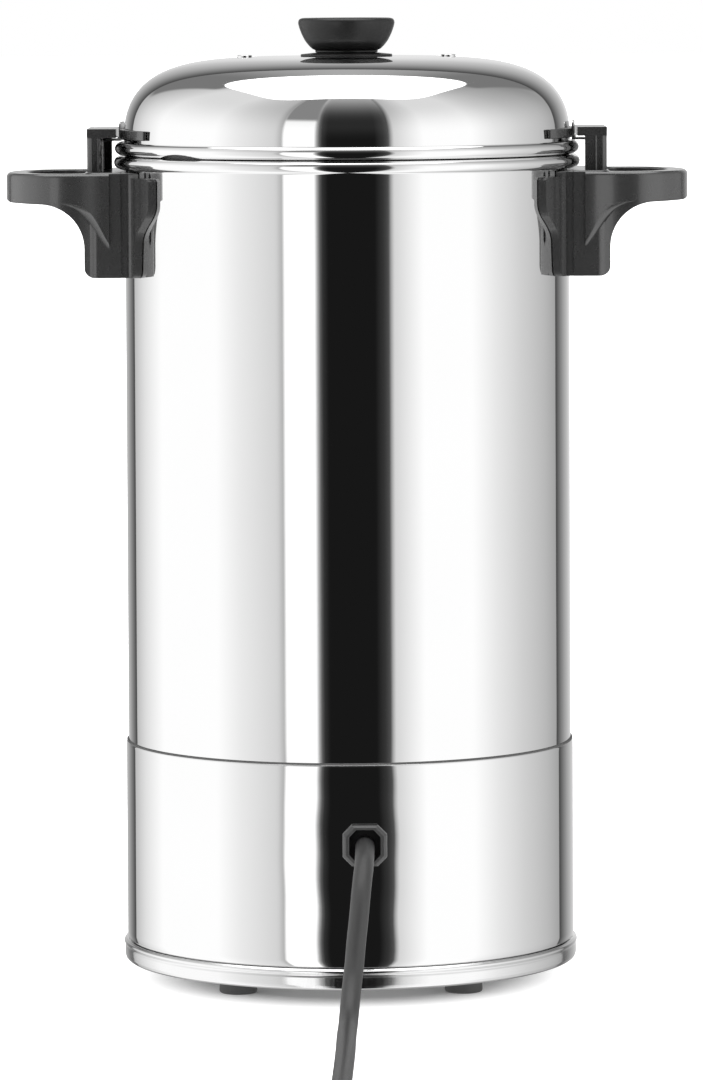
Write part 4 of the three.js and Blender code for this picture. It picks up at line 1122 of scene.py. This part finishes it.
def make_world():
    world = bpy.data.worlds.new("studio")
    bpy.context.scene.world = world
    world.use_nodes = True
    nodes, links = world.node_tree.nodes, world.node_tree.links
    nodes.clear()

    def feed(socket, value):
        if isinstance(value, (int, float)):
            socket.default_value = value
        else:
            links.new(value, socket)

    def calc(operation, a, b=0.0, c=0.0):
        node = nodes.new("ShaderNodeMath")
        node.operation = operation
        for socket, value in zip(node.inputs, (a, b, c)):
            feed(socket, value)
        return node.outputs[0]

    def step(value, start, end):
        """0 before start and 1 after end."""
        node = nodes.new("ShaderNodeMapRange")
        node.interpolation_type = "SMOOTHSTEP"
        feed(node.inputs["Value"], value)
        feed(node.inputs["From Min"], start)
        feed(node.inputs["From Max"], end)
        return node.outputs["Result"]

    def blend(share, a, b):
        node = nodes.new("ShaderNodeMix")
        feed(node.inputs["Factor"], share)
        feed(node.inputs[2], a)
        feed(node.inputs[3], b)
        return node.outputs[0]

    def ramp(value, stops):
        node = nodes.new("ShaderNodeValToRGB")
        row = node.color_ramp.elements
        while len(row) < len(stops):
            row.new(0.5)
        for stop, (position, _) in zip(row, stops):
            stop.position = position
        for stop, (_, level) in zip(row, stops):
            stop.color = (level, level, level, 1)
        links.new(value, node.inputs["Fac"])
        return node.outputs["Color"]

    place = nodes.new("ShaderNodeTexCoord")
    split = nodes.new("ShaderNodeSeparateXYZ")
    links.new(place.outputs["Generated"], split.inputs[0])
    x, y, z = split.outputs
    round_angle = calc("ARCTAN2", x, calc("MULTIPLY", y, -1.0))
    share = calc("MULTIPLY_ADD", round_angle, 1 / (2 * math.pi), 0.5)
    peak = max(level for _, level in WALL)
    wall = ramp(share, [(angle / 360 + 0.5, level / peak) for angle, level in WALL])
    wall = calc("MULTIPLY", wall, peak)
    # The panels are dimmer higher up, and the window-like strip stops at a height.
    wall = calc("MULTIPLY", wall, blend(step(z, 0.1, 0.75), 1.0, 0.7))
    strip = calc("MULTIPLY", step(round_angle, -0.6, -0.56), step(round_angle, -0.25, -0.28))
    strip = calc("MULTIPLY", strip, step(z, 0.36, 0.46))
    wall = blend(strip, wall, 0.24)
    # The dark gap between the panels is hazy low down and brightens towards the top.
    gap = calc("MULTIPLY", step(round_angle, -0.3, -0.24), step(round_angle, 0.4, 0.34))
    haze = calc("POWER", calc("MULTIPLY", calc("SUBTRACT", z, 0.3), 1.72), 3.0)
    haze = calc("MULTIPLY", haze, step(z, 0.3, 0.31))
    haze = calc("MULTIPLY_ADD", haze, 0.33, calc("MULTIPLY", step(z, 0.02, 0.3), 0.016))
    wall = calc("ADD", wall, calc("MULTIPLY", gap, haze))
    behind = calc("ADD", y, calc("MULTIPLY", x, 0.08))
    stretch = 1 / (1 - BACKDROP_START)
    stops = [((start - BACKDROP_START) * stretch, level) for start, level in BACKDROP]
    backdrop = ramp(calc("MULTIPLY", calc("SUBTRACT", behind, BACKDROP_START), stretch), stops)
    # Between the backdrop and the panels is a dull ceiling, lighter over the middle.
    aside = calc("ABSOLUTE", x)
    ceiling = blend(step(aside, 0.0, 0.28), 0.42, 0.19)
    ceiling_share = calc("MULTIPLY", step(y, 0.3, 0.4), step(aside, 0.56, 0.5))
    ceiling_share = calc("MULTIPLY", ceiling_share, step(z, 0.3, 0.4))
    light = blend(ceiling_share, wall, ceiling)
    light = blend(step(behind, 0.775, 0.785), light, backdrop)
    # A large soft box overhead.
    sides = []
    for direction, middle, half in zip((x, y), BOX_MIDDLE, BOX_HALF):
        off = calc("SUBTRACT", calc("DIVIDE", direction, z), middle)
        sides.append(calc("POWER", calc("ABSOLUTE", calc("DIVIDE", off, half)), BOX_POWER))
    inside = calc("MULTIPLY", step(calc("ADD", *sides), 1.06, 0.96), step(z, 0.3, 0.35))
    light = blend(inside, light, BOX_BRIGHTNESS)
    path = nodes.new("ShaderNodeLightPath")
    light = calc("MULTIPLY", light, blend(path.outputs["Is Diffuse Ray"], 1.0, DIFFUSE_GAIN))
    light = blend(path.outputs["Is Camera Ray"], light, 1.0)
    shine = nodes.new("ShaderNodeBackground")
    shine.inputs["Color"].default_value = (1, 1, 1, 1)
    links.new(light, shine.inputs["Strength"])
    out = nodes.new("ShaderNodeOutputWorld")
    links.new(shine.outputs[0], out.inputs["Surface"])


make_floor()
make_world()

low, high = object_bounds()
